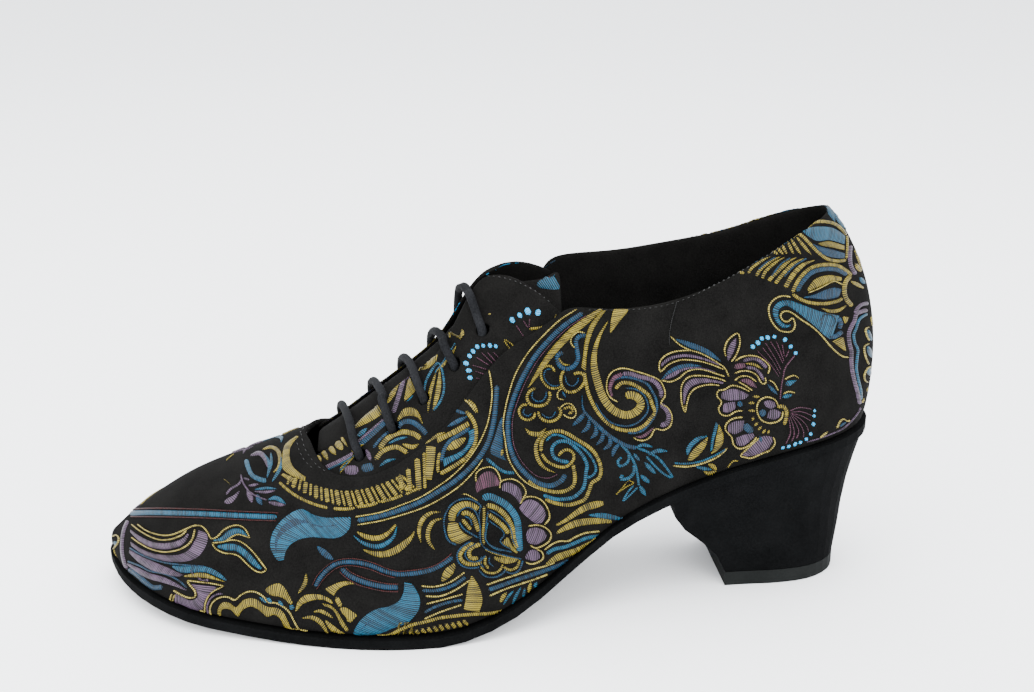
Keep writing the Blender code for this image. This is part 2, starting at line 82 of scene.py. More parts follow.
def sight(x, y):
    """Direction of the sight line through a pixel of the photograph."""
    return (forward + right * ((x - WIDTH_PX / 2) / FOCAL_PX) - up * ((y - HEIGHT_PX / 2) / FOCAL_PX)).normalized()


print("camera looks along", tuple(round(part, 3) for part in forward))

# %% [markdown]
# A product photograph of this kind is taken on white paper under large soft lamps. One wide
# pale floor and three area lamps give the same even light with a soft shadow under the shoe.

# %% Floor and lamps
def paint(name, colour, roughness, sheen=0.0):
    """A Principled material with its plain values; the patterns are wired in afterwards."""
    made = bpy.data.materials.new(name)
    made.use_nodes = True
    shader = made.node_tree.nodes["Principled BSDF"]
    shader.inputs["Base Color"].default_value = (*colour, 1.0)
    shader.inputs["Roughness"].default_value = roughness
    shader.inputs["Sheen Weight"].default_value = sheen
    return made


def put_in_scene(bm, name, finish):
    """Turns a bmesh into a smooth shaded object at the origin with one material."""
    mesh = bpy.data.meshes.new(name)
    bm.to_mesh(mesh)
    bm.free()
    mesh.materials.append(finish)
    mesh.shade_smooth()
    made = bpy.data.objects.new(name, mesh)
    bpy.context.scene.collection.objects.link(made)
    return made


bm = bmesh.new()
bmesh.ops.create_grid(bm, x_segments=1, y_segments=1, size=4.0)
bmesh.ops.translate(bm, verts=bm.verts[:], vec=(0.0, 0.0, -0.0002))
floor = put_in_scene(bm, "floor", paint("white_paper", (0.94, 0.95, 0.96), 0.9))

LAMPS = (
    # name, place, size, watts
    ("lamp_over", (0.10, 0.10, 1.10), 1.2, 24.0),
    ("lamp_front", (-0.35, 1.10, 0.60), 0.9, 15.0),
    ("lamp_toe", (0.95, 0.45, 0.50), 0.8, 9.0),
)
for name, place, size, watts in LAMPS:
    lamp = bpy.data.objects.new(name, bpy.data.lights.new(name, "AREA"))
    lamp.data.size = size
    lamp.data.energy = watts
    lamp.location = place
    lamp.rotation_euler = (Vector((0.0, 0.0, 0.04)) - Vector(place)).to_track_quat("-Z", "Y").to_euler()
    bpy.context.scene.collection.objects.link(lamp)

world = bpy.data.worlds.new("studio")
world.use_nodes = True
world.node_tree.nodes["Background"].inputs["Color"].default_value = (0.95, 0.97, 1.0, 1.0)
world.node_tree.nodes["Background"].inputs["Strength"].default_value = 3.1
bpy.context.scene.world = world
print("lamps:", [row[0] for row in LAMPS])

# %% [markdown]
# The ground cloth is a matt black with a short nap, so it has no gloss, a fine grain and a
# little sheen where it turns away. The suede of the sole and the heel is alike but coarser,
# and the lining is smoother. All of them are noise of the right scale on Object coordinates.

# %% Cloth, suede and lining finishes
def node(tree, kind, **values):
    """One shader node with its plain settings."""
    made = tree.nodes.new(kind)
    for key, value in values.items():
        setattr(made, key, value)
    return made


def napped(name, dark, light, grain_mm, depth, roughness, sheen, patch_mm=9.0):
    """A matt cloth or suede: fine grain in its colour and bump, with soft larger patches."""
    made = paint(name, dark, roughness, sheen)
    tree = made.node_tree
    shader = tree.nodes["Principled BSDF"]
    shader.inputs["Specular IOR Level"].default_value = 0.03
    shader.inputs["Sheen Roughness"].default_value = 0.6
    place = node(tree, "ShaderNodeTexCoord")
    grain = node(tree, "ShaderNodeTexNoise")
    grain.inputs["Scale"].default_value = 1.0 / (grain_mm * MM)
    grain.inputs["Detail"].default_value = 3.0
    patch = node(tree, "ShaderNodeTexNoise")
    patch.inputs["Scale"].default_value = 1.0 / (patch_mm * MM)
    mix = node(tree, "ShaderNodeMath", operation="MULTIPLY_ADD")
    mix.inputs[1].default_value = 0.55
    ramp = node(tree, "ShaderNodeValToRGB")
    ramp.color_ramp.elements[0].position = 0.35
    ramp.color_ramp.elements[0].color = (*dark, 1.0)
    ramp.color_ramp.elements[1].position = 0.75
    ramp.color_ramp.elements[1].color = (*light, 1.0)
    bump = node(tree, "ShaderNodeBump")
    bump.inputs["Strength"].default_value = 0.6
    bump.inputs["Distance"].default_value = depth
    link = tree.links.new
    link(place.outputs["Object"], grain.inputs["Vector"])
    link(place.outputs["Object"], patch.inputs["Vector"])
    link(grain.outputs["Fac"], mix.inputs[0])
    half = node(tree, "ShaderNodeMath", operation="MULTIPLY")
    half.inputs[1].default_value = 0.45
    link(patch.outputs["Fac"], half.inputs[0])
    link(half.outputs[0], mix.inputs[2])
    link(mix.outputs[0], ramp.inputs["Fac"])
    link(ramp.outputs["Color"], shader.inputs["Base Color"])
    link(grain.outputs["Fac"], bump.inputs["Height"])
    link(bump.outputs["Normal"], shader.inputs["Normal"])
    return made


black_cloth = napped("black_cloth", (0.0020, 0.0019, 0.0018), (0.0062, 0.0060, 0.0056), 0.45, 0.00012, 0.95, 0.0)
black_suede = napped("black_suede", (0.0010, 0.0011, 0.0012), (0.0034, 0.0036, 0.0038), 0.6, 0.00016, 0.95, 0.0)
lining_cloth = napped("lining_cloth", (0.0020, 0.0020, 0.0022), (0.0055, 0.0055, 0.0060), 0.5, 0.00006, 0.9, 0.0)
tip_rubber = napped("tip_rubber", (0.0060, 0.0066, 0.0064), (0.0095, 0.0104, 0.0100), 0.8, 0.00006, 0.65, 0.0)
for made in (black_cloth, black_suede, lining_cloth, tip_rubber):
    print("finish", made.name)

# %% [markdown]
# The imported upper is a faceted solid. On the real shoe the cloth runs smoothly over the last
# and is folded in at every edge. A merged copy of the solid, turned back into quads and
# subdivided, gives both: the faces flow smoothly and the square rims become soft folds.

# %% Smooth copies of the cloth pieces
SMOOTH_LEVELS = 2


def smooth_copy(source, name, finish, levels=SMOOTH_LEVELS):
    """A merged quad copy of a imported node, subdivided and applied."""
    bm = bmesh.new()
    bm.from_mesh(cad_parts[source].data)
    bmesh.ops.remove_doubles(bm, verts=bm.verts[:], dist=0.00001)
    bmesh.ops.join_triangles(bm, faces=bm.faces[:], angle_face_threshold=math.radians(60),
                             angle_shape_threshold=math.radians(60))
    rough = put_in_scene(bm, name + "_rough", finish)
    soft = rough.modifiers.new("Smooth", "SUBSURF")
    soft.levels = soft.render_levels = levels
    graph = bpy.context.evaluated_depsgraph_get()
    mesh = bpy.data.meshes.new_from_object(rough.evaluated_get(graph))
    mesh.name = name
    bpy.data.objects.remove(rough, do_unlink=True)
    made = bpy.data.objects.new(name, mesh)
    bpy.context.scene.collection.objects.link(made)
    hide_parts(source)
    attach(made, "root")
    return made


upper = smooth_copy("upper", "upper_cloth", black_cloth)
facings = []
for side in ("outer", "inner"):
    facing = smooth_copy(f"facing_{side}", f"facing_{side}_cloth", black_cloth, 1)
    facings.append(facing)
tongue = smooth_copy("tongue", "tongue_cloth", black_cloth)
for piece in (upper, *facings, tongue):
    print(piece.name, len(piece.data.polygons), "faces")


# %% [markdown]
# Worn cloth keeps soft creases where the foot bends and where the quarter is pulled in. They
# are placed in the shoe's own millimetres, as troughs with a low ridge beside them,
# and both walls of the upper move together, so that the cloth keeps its thickness.

# %% Creases of the upper
CREASES_MM = (
    # start along and up, end along and up, half width, depth
    ((40, 66), (31, 28), 5.0, 0.9),
    ((47, 58), (39, 27), 3.5, -0.5),
    ((57, 52), (50, 22), 5.0, 0.7),
    ((66, 44), (61, 22), 4.0, 0.5),
    ((-16, 92), (-32, 66), 6.0, 0.8),
    ((-26, 88), (-44, 60), 4.5, -0.5),
    ((-78, 92), (-92, 70), 6.0, 0.6),
    ((8, 56), (-8, 36), 7.0, 0.6),
)


CREASE_FLOOR, CREASE_FADE, CREASE_CORE = 0.020, 0.010, 0.030
CREASE_ENDS = 0.55


def crease_depth(place):
    """How far the creases draw the cloth in at this place."""
    depth = 0.0
    flat = Vector((place.x, place.z))
    for start, end, half, deep in CREASES_MM:
        a, b = Vector(start) * MM, Vector(end) * MM
        share = min(max((flat - a).dot(b - a) / (b - a).length_squared, 0.0), 1.0)
        away = (flat - a.lerp(b, share)).length / (half * MM)
        depth += deep * MM * math.exp(-away * away) * (CREASE_ENDS + (1.0 - CREASE_ENDS) * math.sin(math.pi * share))
    return depth


for vertex in upper.data.vertices:
    if vertex.co.z > CREASE_FLOOR:
        outward = (vertex.co - Vector((vertex.co.x, 0.0, CREASE_CORE))).normalized()
        vertex.co -= outward * crease_depth(vertex.co) * min((vertex.co.z - CREASE_FLOOR) / CREASE_FADE, 1.0)
upper.data.update()
print("creases:", len(CREASES_MM))


# %% [markdown]
# Thread belongs on the outer face of the cloth alone. The search tree that it is dropped on
# leaves out every face that looks towards a core line inside the foot, which lies lower at the
# toe than at the instep.

# %% Search tree of the outer faces
CORE_SHARE = 0.75
CORE_HEIGHT, CORE_DROP, CORE_RUN = 0.035, 0.027, 0.09


def outer_faces(piece):
    """A search tree over the faces that look away from the middle of the foot."""
    bm = bmesh.new()
    bm.from_mesh(piece.data)
    inward = []
    for face in bm.faces:
        place = face.calc_center_median()
        core = Vector((place.x * CORE_SHARE, 0.0, CORE_HEIGHT - CORE_DROP * min(max(place.x / CORE_RUN, 0.0), 1.0)))
        if face.normal.dot(place - core) < 0:
            inward.append(face)
    bmesh.ops.delete(bm, geom=inward, context="FACES")
    tree = BVHTree.FromBMesh(bm)
    bm.free()
    return tree


print("core line falls from", CORE_HEIGHT, "to", round(CORE_HEIGHT - CORE_DROP, 3), "m at the toe")

# %% [markdown]
# The sole, the heel and its tip, and the insole already have their true shape as solids, so
# they keep it and only take a better finish.

# %% Sole, heel and insole finishes
SOLID_FINISHES = (("outsole", black_suede), ("heel", black_suede), ("heel_tip", tip_rubber), ("insole", lining_cloth))
for name, finish in SOLID_FINISHES:
    print(name, "wears", finish.name)
    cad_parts[name].data.materials.clear()
    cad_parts[name].data.materials.append(finish)

# %% [markdown]
# The lace is one round braided cord. Each bar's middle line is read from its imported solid,
# so that it lies where the solid lies, and goes on down through the hole at each end.

# %% Lace
lace_cord = napped("lace_cord", (0.0035, 0.0037, 0.0042), (0.0125, 0.0130, 0.0145), 0.5, 0.00015, 0.85, 0.0)
LACE_RADIUS = 1.3 * MM
HOLE_LEAN, HOLE_FALL, HOLE_DEPTH = 0.35, 0.94, 4 * MM
HOLES_PX = ((482.7, 329.0), (455.4, 362.6), (425.0, 398.0), (393.0, 429.0), (360.5, 454.6))


def middle_line(source, steps=12):
    """Middle points of a packed lace bar, from the outer side to the inner."""
    points = [vertex.co.copy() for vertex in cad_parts[source].data.vertices]
    low, high = min(p.y for p in points), max(p.y for p in points)
    line = []
    for k in range(steps):
        a, b = low + (high - low) * k / steps, low + (high - low) * (k + 1) / steps
        inside = [p for p in points if a <= p.y <= b]
        if inside:
            line.append(sum(inside, Vector()) / len(inside))
    return line


for count in range(1, 6):
    source = f"lace_bar_{count}"
    line = middle_line(source)
    curve = bpy.data.curves.new(f"lace_{count}", "CURVE")
    curve.dimensions = "3D"
    curve.bevel_depth = LACE_RADIUS
    curve.bevel_resolution = 4
    curve.use_fill_caps = True
    near_end, far_end = line[-1], line[0]
    hole = CAMERA_PLACE + sight(*HOLES_PX[count - 1]) * (near_end - CAMERA_PLACE).length
    step = hole - near_end
    far_hole = far_end + Vector((step.x, -step.y, step.z))
    down_near, down_far = Vector((0.0, -HOLE_LEAN, -HOLE_FALL)), Vector((0.0, HOLE_LEAN, -HOLE_FALL))
    line = [far_hole + down_far * HOLE_DEPTH, far_hole + down_far * MM, *line,
            hole + down_near * MM, hole + down_near * HOLE_DEPTH]
    spline = curve.splines.new("NURBS")
    spline.points.add(len(line) - 1)
    for point, place in zip(spline.points, line):
        point.co = (*place, 1.0)
    spline.use_endpoint_u = True
    spline.order_u = 4
    curve.materials.append(lace_cord)
    lace = bpy.data.objects.new(f"lace_{count}", curve)
    bpy.context.scene.collection.objects.link(lace)
    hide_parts(source)
    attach(lace, "root")
    print(lace.name, "has", len(line), "places")

# %% [markdown]
# The stitching is satin stitch: rayon thread laid side by side across a narrow shape, so that
# each shape stands a little proud and shines along its threads. Every shape is modelled as a
# low band whose cross rows are its threads. A table row gives the thread, the form, the width
# and the places of its middle line in the photograph's pixels, or of its two edges.

# %% Thread finishes
STITCH_MM = 0.62


def rayon(name, colour, deep, roughness=0.42):
    """Satin thread: fine ridges across the shape, with painted shade in the furrows between threads, and each thread
    with its own tone.
    """
    made = paint(name, colour, roughness)
    tree = made.node_tree
    shader = tree.nodes["Principled BSDF"]
    shader.inputs["Specular IOR Level"].default_value = 0.16
    marks = node(tree, "ShaderNodeAttribute", attribute_name="stitch")
    parts = node(tree, "ShaderNodeSeparateXYZ")
    turns = node(tree, "ShaderNodeMath", operation="MULTIPLY")
    turns.inputs[1].default_value = 2.0 * math.pi
    wave = node(tree, "ShaderNodeMath", operation="SINE")
    whole = node(tree, "ShaderNodeMath", operation="FLOOR")
    pair = node(tree, "ShaderNodeCombineXYZ")
    tone = node(tree, "ShaderNodeTexWhiteNoise", noise_dimensions="3D")
    place = node(tree, "ShaderNodeTexCoord")
    cloud = node(tree, "ShaderNodeTexNoise")
    cloud.inputs["Scale"].default_value = 260.0
    ramp = node(tree, "ShaderNodeValToRGB")
    # Painted shade: the ramp's dark end, the deep colour, is each thread's darker random tone and also the shade
    # painted into the furrows between threads.
    ramp.color_ramp.elements[0].position = 0.28
    ramp.color_ramp.elements[0].color = (*deep, 1.0)
    ramp.color_ramp.elements[1].position = 0.66
    ramp.color_ramp.elements[1].color = (*colour, 1.0)
    furrow_shade_and_tone = node(tree, "ShaderNodeMath", operation="MULTIPLY_ADD")
    furrow_shade_and_tone.inputs[1].default_value = 0.32
    mixed = node(tree, "ShaderNodeMath", operation="MULTIPLY_ADD")
    mixed.inputs[1].default_value = 0.5
    bump = node(tree, "ShaderNodeBump")
    bump.inputs["Strength"].default_value = 0.7
    bump.inputs["Distance"].default_value = 0.00012
    link = tree.links.new
    link(marks.outputs["Vector"], parts.inputs[0])
    link(parts.outputs["X"], turns.inputs[0])
    link(turns.outputs[0], wave.inputs[0])
    link(parts.outputs["X"], whole.inputs[0])
    link(whole.outputs[0], pair.inputs["X"])
    link(parts.outputs["Z"], pair.inputs["Z"])
    link(pair.outputs[0], tone.inputs["Vector"])
    link(place.outputs["Object"], cloud.inputs["Vector"])
    link(tone.outputs["Value"], mixed.inputs[0])
    half = node(tree, "ShaderNodeMath", operation="MULTIPLY")
    half.inputs[1].default_value = 0.4
    link(cloud.outputs["Fac"], half.inputs[0])
    link(half.outputs[0], mixed.inputs[2])
    # Painted shade: the stitch wave darkens the base colour in the furrows between threads, the same wave that sinks
    # them in the bump.
    link(wave.outputs[0], furrow_shade_and_tone.inputs[0])
    link(mixed.outputs[0], furrow_shade_and_tone.inputs[2])
    link(furrow_shade_and_tone.outputs[0], ramp.inputs["Fac"])
    link(ramp.outputs["Color"], shader.inputs["Base Color"])
    link(wave.outputs[0], bump.inputs["Height"])
    link(bump.outputs["Normal"], shader.inputs["Normal"])
    return made


# The second colour of each thread is its darker tone and also the painted shade of the furrows between threads.
THREADS = {
    "gold": rayon("gold_thread", (0.160, 0.122, 0.011), (0.004, 0.003, 0.0004)),
    "cream": rayon("cream_thread", (0.280, 0.228, 0.052), (0.030, 0.022, 0.004)),
    "blue": rayon("blue_thread", (0.0008, 0.025, 0.056), (0.0002, 0.0015, 0.003)),
    "sky": rayon("sky_thread", (0.0025, 0.056, 0.102), (0.0003, 0.003, 0.006)),
    "lilac": rayon("lilac_thread", (0.062, 0.038, 0.068), (0.003, 0.002, 0.003)),
    "rose": rayon("rose_thread", (0.058, 0.019, 0.036), (0.004, 0.0015, 0.0025)),
    "ice": rayon("ice_thread", (0.020, 0.290, 0.560), (0.008, 0.130, 0.260)),
    "black": rayon("black_thread", (0.004, 0.004, 0.004), (0.001, 0.001, 0.001)),
    "grey": rayon("grey_thread", (0.030, 0.030, 0.030), (0.010, 0.010, 0.010)),
    "red": rayon("red_thread", (0.045, 0.008, 0.008), (0.006, 0.001, 0.001)),
}
print("threads:", sorted(THREADS))

# %% [markdown]
# A charted line is first smoothed in the picture plane, then each row of the band is dropped
# along its own sight lines onto the cloth, so the shape lies on the shoe seen from any side.

# %% Laying thread on the cloth
STEP_PX = 1.5
JUMP = 12 * MM
STITCH_SLANT = 0.35
EDGE_SINK = 0.06 * MM
ROUNDNESS = 0.6
TWIN_CLEAR = 4 * MM
ROWS = {"cord": 4, "band": 5, "leaf": 5, "drop": 5, "horn": 5, "field": 7}
RISE = {"cord": 0.42 * MM, "band": 0.34 * MM, "leaf": 0.34 * MM, "drop": 0.34 * MM, "horn": 0.34 * MM,
        "field": 0.36 * MM}


def places(text):
    """Pixels of one charted line."""
    return [Vector([float(part) for part in pair.split(",")]) for pair in text.split()]


def smooth_line(points, step=STEP_PX):
    """Close, even pixels on the smooth curve through the charted ones."""
    if len(points) == 2:
        count = max(2, round((points[1] - points[0]).length / step))
        return [points[0].lerp(points[1], k / count) for k in range(count + 1)]
    ends = [2 * points[0] - points[1], *points, 2 * points[-1] - points[-2]]
    line = []
    for k in range(len(points) - 1):
        p0, p1, p2, p3 = ends[k:k + 4]
        count = max(2, round((p2 - p1).length / step))
        for i in range(count):
            f = i / count
            line.append(0.5 * (2 * p1 + (p2 - p0) * f + (2 * p0 - 5 * p1 + 4 * p2 - p3) * f ** 2
                               + (3 * p1 - p0 - 3 * p2 + p3) * f ** 3))
    return line + [points[-1]]


def spread(line, count):
    """The line again with this many evenly spaced places."""
    reach = [0.0]
    for a, b in zip(line, line[1:]):
        reach.append(reach[-1] + (b - a).length)
    out, k = [], 0
    for i in range(count):
        at = reach[-1] * i / (count - 1)
        while k < len(line) - 2 and reach[k + 1] < at:
            k += 1
        out.append(line[k].lerp(line[k + 1], (at - reach[k]) / max(reach[k + 1] - reach[k], 1e-9)))
    return out


def half_width(form, width, t, length):
    """Half the width of a form at a share t of its length."""
    end = min(1.0, min(t, 1.0 - t) * length / max(width * 0.5, 0.6))
    cap = math.sqrt(max(1.0 - (1.0 - end) ** 2, 0.0))
    if form == "leaf":
        return width / 2 * math.sin(math.pi * t) ** 0.7
    if form == "drop":
        return width / 2 * min(math.sqrt(min(t / 0.3, 1.0)), ((1.0 - t) / 0.7) ** 0.9 if t > 0.3 else 1.0)
    if form == "horn":
        return width / 2 * cap * min(1.0, 0.15 + t / 0.45)
    return width / 2 * cap


def rails_of(form, width, text):
    """The two edges of a charted shape, with the same number of places each."""
    if form == "field":
        first, second = (smooth_line(places(part)) for part in text.split("|"))
        count = max(len(first), len(second), 3)
        return spread(first, count), spread(second, count)
    line = smooth_line(places(text))
    length = sum((b - a).length for a, b in zip(line, line[1:]))
    line = spread(line, max(3, round(length / STEP_PX) + 1))
    left, right_edge = [], []
    for k, point in enumerate(line):
        along = line[min(k + 1, len(line) - 1)] - line[max(k - 1, 0)]
        aside = Vector((-along.y, along.x)).normalized()
        half = half_width(form, width, k / (len(line) - 1), length)
        left.append(point + aside * half)
        right_edge.append(point - aside * half)
    return left, right_edge


def drop_on(tree, pixel, before):
    """Where the sight line meets the cloth, or the nearest cloth to it beyond the outline."""
    place, normal, _, far = tree.ray_cast(CAMERA_PLACE, sight(*pixel))
    if place is None or abs(far - before) > JUMP:
        far = before
        place, normal, _, _ = tree.find_nearest(CAMERA_PLACE + sight(*pixel) * before)
    return place, normal, far


def lay_rows(bm, mark, places_3d, rise, tone):
    """Adds one band: rows of (place, normal) across, one row for each step along."""
    columns, rows = len(places_3d), len(places_3d[0])
    k, m = columns // 2, rows // 2
    along = places_3d[k][m][0] - places_3d[k - 1][m][0]
    across = places_3d[k][m][0] - places_3d[k][m - 1][0]
    if along.cross(across).dot(places_3d[k][m][1]) < 0:
        places_3d = [row[::-1] for row in places_3d]
    grid = bmesh.ops.create_grid(bm, x_segments=columns - 1, y_segments=rows - 1, size=0.5)["verts"]
    reach = [0.0]
    middle = rows // 2
    for a, b in zip(places_3d, places_3d[1:]):
        reach.append(reach[-1] + (b[middle][0] - a[middle][0]).length)
    for vertex in grid:
        i = round((vertex.co.x + 0.5) * (columns - 1))
        j = round((vertex.co.y + 0.5) * (rows - 1))
        place, normal = places_3d[i][j]
        v = j / (rows - 1)
        lift = rise * math.sin(math.pi * v) ** ROUNDNESS if 0 < j < rows - 1 else -EDGE_SINK
        if i in (0, columns - 1):
            lift = -EDGE_SINK
        vertex.co = place + normal * lift
        vertex[mark] = (reach[i] / (STITCH_MM * MM) + STITCH_SLANT * v, v, tone)


def across_of(place):
    """The matching place on the shoe's other side, over its middle line."""
    return Vector((place.x, 2 * middle_at(place.x) - place.y, place.z))


def middle_at(x):
    """Middle of the upper's width at x."""
    k = min(max((x - MIDDLE_START) / MIDDLE_STEP, 0.0), len(MIDDLES) - 1.001)
    i = int(k)
    return MIDDLES[i] + (MIDDLES[i + 1] - MIDDLES[i]) * (k - i)


MIDDLE_START, MIDDLE_STEP = -0.110, 0.010
MIDDLES = []
for k in range(23):
    x = MIDDLE_START + k * MIDDLE_STEP
    near = [vertex.co.y for vertex in upper.data.vertices if abs(vertex.co.x - x) < 0.003]
    MIDDLES.append((min(near) + max(near)) / 2)


def lay_chart(chart, tree, meshes, mirrored=None, other_tree=None):
    """Lays every row of a chart, and its match on the other side where that is asked for."""
    for thread, form, width, text in chart:
        left, right_edge = rails_of(form, width, text)
        rows = ROWS[form]
        middle = left[len(left) // 2].lerp(right_edge[len(left) // 2], 0.5)
        far = tree.ray_cast(CAMERA_PLACE, sight(*middle))[3]
        if far is None:
            far = (CAMERA_PLACE - Vector((0.0, 0.03, 0.04))).length
        half = len(left) // 2
        cast = [None] * len(left)
        for run in (range(half, len(left)), range(half - 1, -1, -1)):
            near_far = far
            for k in run:
                cast[k] = []
                for j in range(rows):
                    place, normal, near_far = drop_on(tree, left[k].lerp(right_edge[k], j / (rows - 1)), near_far)
                    cast[k].append((place, normal))
        rise = RISE[form] * (1.0 if form == "cord" else min(1.0, 0.45 + width / 8) if width else 1.0)
        tone = random.random()
        bm, mark = meshes[thread]
        lay_rows(bm, mark, cast, rise, tone)
        if mirrored is None:
            continue
        if min(place.y - middle_at(place.x) for row in cast for place, _ in row) < TWIN_CLEAR:
            continue
        other, other_mark = mirrored[thread]
        twin = []
        for row in cast:
            twin.append([(other_tree or tree).find_nearest(across_of(place))[:2] for place, _ in reversed(row)])
        lay_rows(other, other_mark, twin, rise, tone)


def empty_meshes():
    """One empty bmesh for each thread, with its stitch marks."""
    meshes = {}
    for thread in THREADS:
        bm = bmesh.new()
        meshes[thread] = (bm, bm.verts.layers.float_vector.new("stitch"))
    return meshes


def finish_meshes(meshes, label):
    """Makes one object of each thread that was used."""
    for thread, (bm, _) in meshes.items():
        if not bm.faces:
            bm.free()
            continue
        piece = put_in_scene(bm, f"stitch_{label}_{thread}", THREADS[thread])
        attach(piece, "root")
        print(piece.name, len(piece.data.polygons), "faces")


# %% [markdown]
# Toe and vamp: a long sky bar, a fanned shell at the tip, petals, a gold cloud along the sole
# and a big blue leaf, as the photograph shows them.

# %% Chart of the toe
TOE = (
    ("sky", "band", 5.5, "129,513 150,512.5 180,513 210,514 240,515.5 277,517"),
    ("red", "cord", 0.9, "131,509.3 160,508.5 200,509.5 240,511.5 279,513"),
    ("red", "cord", 0.9, "130,516.8 170,517.2 210,518.4 240,519.8 277,521"),
    ("cream", "cord", 1.5,
     "137,524 147,531 160,535 171,535 182,531 192,526.5 198,525.5 203,527 208,533 211,538.5 217,537 "
     "224,530 232,526 239,525.5 245,529 250,538"),
    ("cream", "cord", 1.5, "131,524 140,531 152,537.5 162,540 172,539 182,535 187,530"),
    ("lilac", "field", 0,
     "130,529 140,536 152,541.5 164,543 176,541 184,537 188,533|130,532 139,541.5 152,548 165,549.5 "
     "178,547 185,542 189,535"),
    ("cream", "cord", 1.5, "131,537 140,543.5 152,549.5 165,552 178,550 187,545.5 192,540 194,534 195,529"),
    ("lilac", "field", 0,
     "130,541 141,548.5 154,553.5 168,555 180,554 189,549 194,541 197,535 198,530|131,546 142,554 "
     "155,559 170,562 185,562 197,558 204,550 208,541 207,533"),
    ("blue", "band", 2, "129,547.5 140,554 155,560 170,563.5 190,565.5 205,566.5"),
    ("lilac", "field", 0, "129,549 140,555.5 155,562 168,567.5 184,575|129,553 139,563 152,571 167,575.5 180,577"),
    ("sky", "field", 0,
     "172,565.5 185,566 200,565.5 212,568.5 221,574 227,580|172,567 180,572.5 192,573 205,572.5 "
     "217,577 226,581"),
    ("gold", "field", 0,
     "184,575.5 195,573 205,573 216,577.5 225,581.5|184,577 196,577.5 208,578.5 218,580.5 225,582"),
    ("blue", "band", 2, "127,561 140,566 150,571 165,574 178,580 187,588"),
    ("lilac", "field", 0,
     "127,562.5 138,567.5 150,573 164,577 176,583 187,590|127,564.5 138,573.5 150,579.5 163,583 "
     "176,587 186,590.5"),
    ("blue", "band", 5.5, "128,569 136,574 145,582 153,587.5 163,587"),
    ("lilac", "cord", 2, "128,576 137,582 147,590 157,595 167,593"),
    ("lilac", "field", 0, "147,591 155,595 162,593 168,592|151,596 157,599.5 163,600 168,600"),
    ("cream", "cord", 1.5, "172,593 169,603"),
    ("cream", "cord", 1.5, "175,594 172,603"),
    ("cream", "cord", 1.5, "173,590 180,594 188,597.5 195,597 195,591 190,585 187,580.5"),
    ("cream", "cord", 1.5, "187,580.5 200,582 212,583.5 224,586"),
    ("cream", "cord", 1.5, "224,586 214,591 208,597 205,605 204,613 196,613"),
    ("lilac", "field", 0,
     "175,593 183,597 190,600 197,597 196,591 190,584|174,603 183,607.5 194,612 202,612 206,599 "
     "219,587"),
    ("lilac", "band", 4, "128,520 124,529 122,540 122,552 124,562 127,570"),
    ("cream", "cord", 1.2, "112,537 116,535 119,538 118,543 113,551 118,559"),
    ("sky", "band", 4, "114,541 117,546"),
    ("sky", "field", 0,
     "213,540 221,537 228,530.5 236,528 243,530 248,536|214,541.5 223,541.5 230,537.5 237,534 243,535 "
     "249,538"),
    ("cream", "cord", 1.5, "250,538 243,535.5 237,534.5 231,537.5 226,541"),
    ("cream", "cord", 1.5, "212,543 222,542 232,540 240,541.5 247,546 254,553 261,562 267,570"),
    ("cream", "cord", 1.5, "212,543.5 216,549 224,553 233,554 240,557 246,563 254,570 261,572.5 267,570"),
    ("sky", "field", 0,
     "217,545.5 227,543.5 237,544.5 246,550 254,558 262,568|218,548 226,550.5 235,551 243,556 251,564 "
     "260,570"),
    ("cream", "cord", 1.6,
     "211,617 210,609 213,602 220,597.5 228,597 235,600 241,595 249,591.5 257,592.5 264,597 268,602 "
     "276,603 284,607 290,613 294,621 299,629 308,636"),
    ("gold", "field", 0,
     "217,617 218,608 223,602 230,603 236,607 243,600 251,598 258,600 264,605 270,607 278,608 284,613 "
     "288,621 292,629 300,634|221,617 222,610 227,609 232,611 238,617 242,611 249,607 255,608 261,612 "
     "267,617 274,615 280,619 284,627 290,633 297,635"),
    ("lilac", "cord", 2, "209,615 207,607 211,598 218,594 223,594"),
    ("sky", "leaf", 5, "235,618 245,626"),
    ("sky", "leaf", 6, "245,616 251,627"),
    ("sky", "leaf", 6, "260,619 264,630"),
    ("sky", "leaf", 6.5, "277,624 273,632"),
    ("gold", "field", 0,
     "265,589 271,585 279,583 285,588 290,597 293,603|266,592 272,596 279,597 284,599 288,603 291,605"),
    ("gold", "leaf", 4.5, "306,573 305,583 298,594"),
    ("gold", "field", 0,
     "295,612 297,603 303,596 312,594 322,595 330,599 333,603|297,611 302,605 308,602 315,600 323,600 "
     "328,602 332,604"),
    ("gold", "field", 0, "324,589 332,585 340,582 348,581 354,583|334,596 337,591 342,587 348,585 354,584"),
    ("gold", "band", 5, "336,597 341,607"),
    ("gold", "field", 0, "321,603 330,605 337,611 342,619 349,630|325,606 333,610 337,617 340,624 346,632"),
    ("gold", "field", 0, "339,608 345,607 352,611 357,615|342,613 346,618 350,623 357,616"),
    ("gold", "leaf", 4, "313,612 320,611 327,614 333,618"),
    ("gold", "leaf", 5, "302,618 312,617.5 320,622 325,629 328,636"),
    ("gold", "leaf", 6, "325,620 331,627 338,632 345,634"),
    ("gold", "band", 3, "338,639.5 344,638.5"),
)

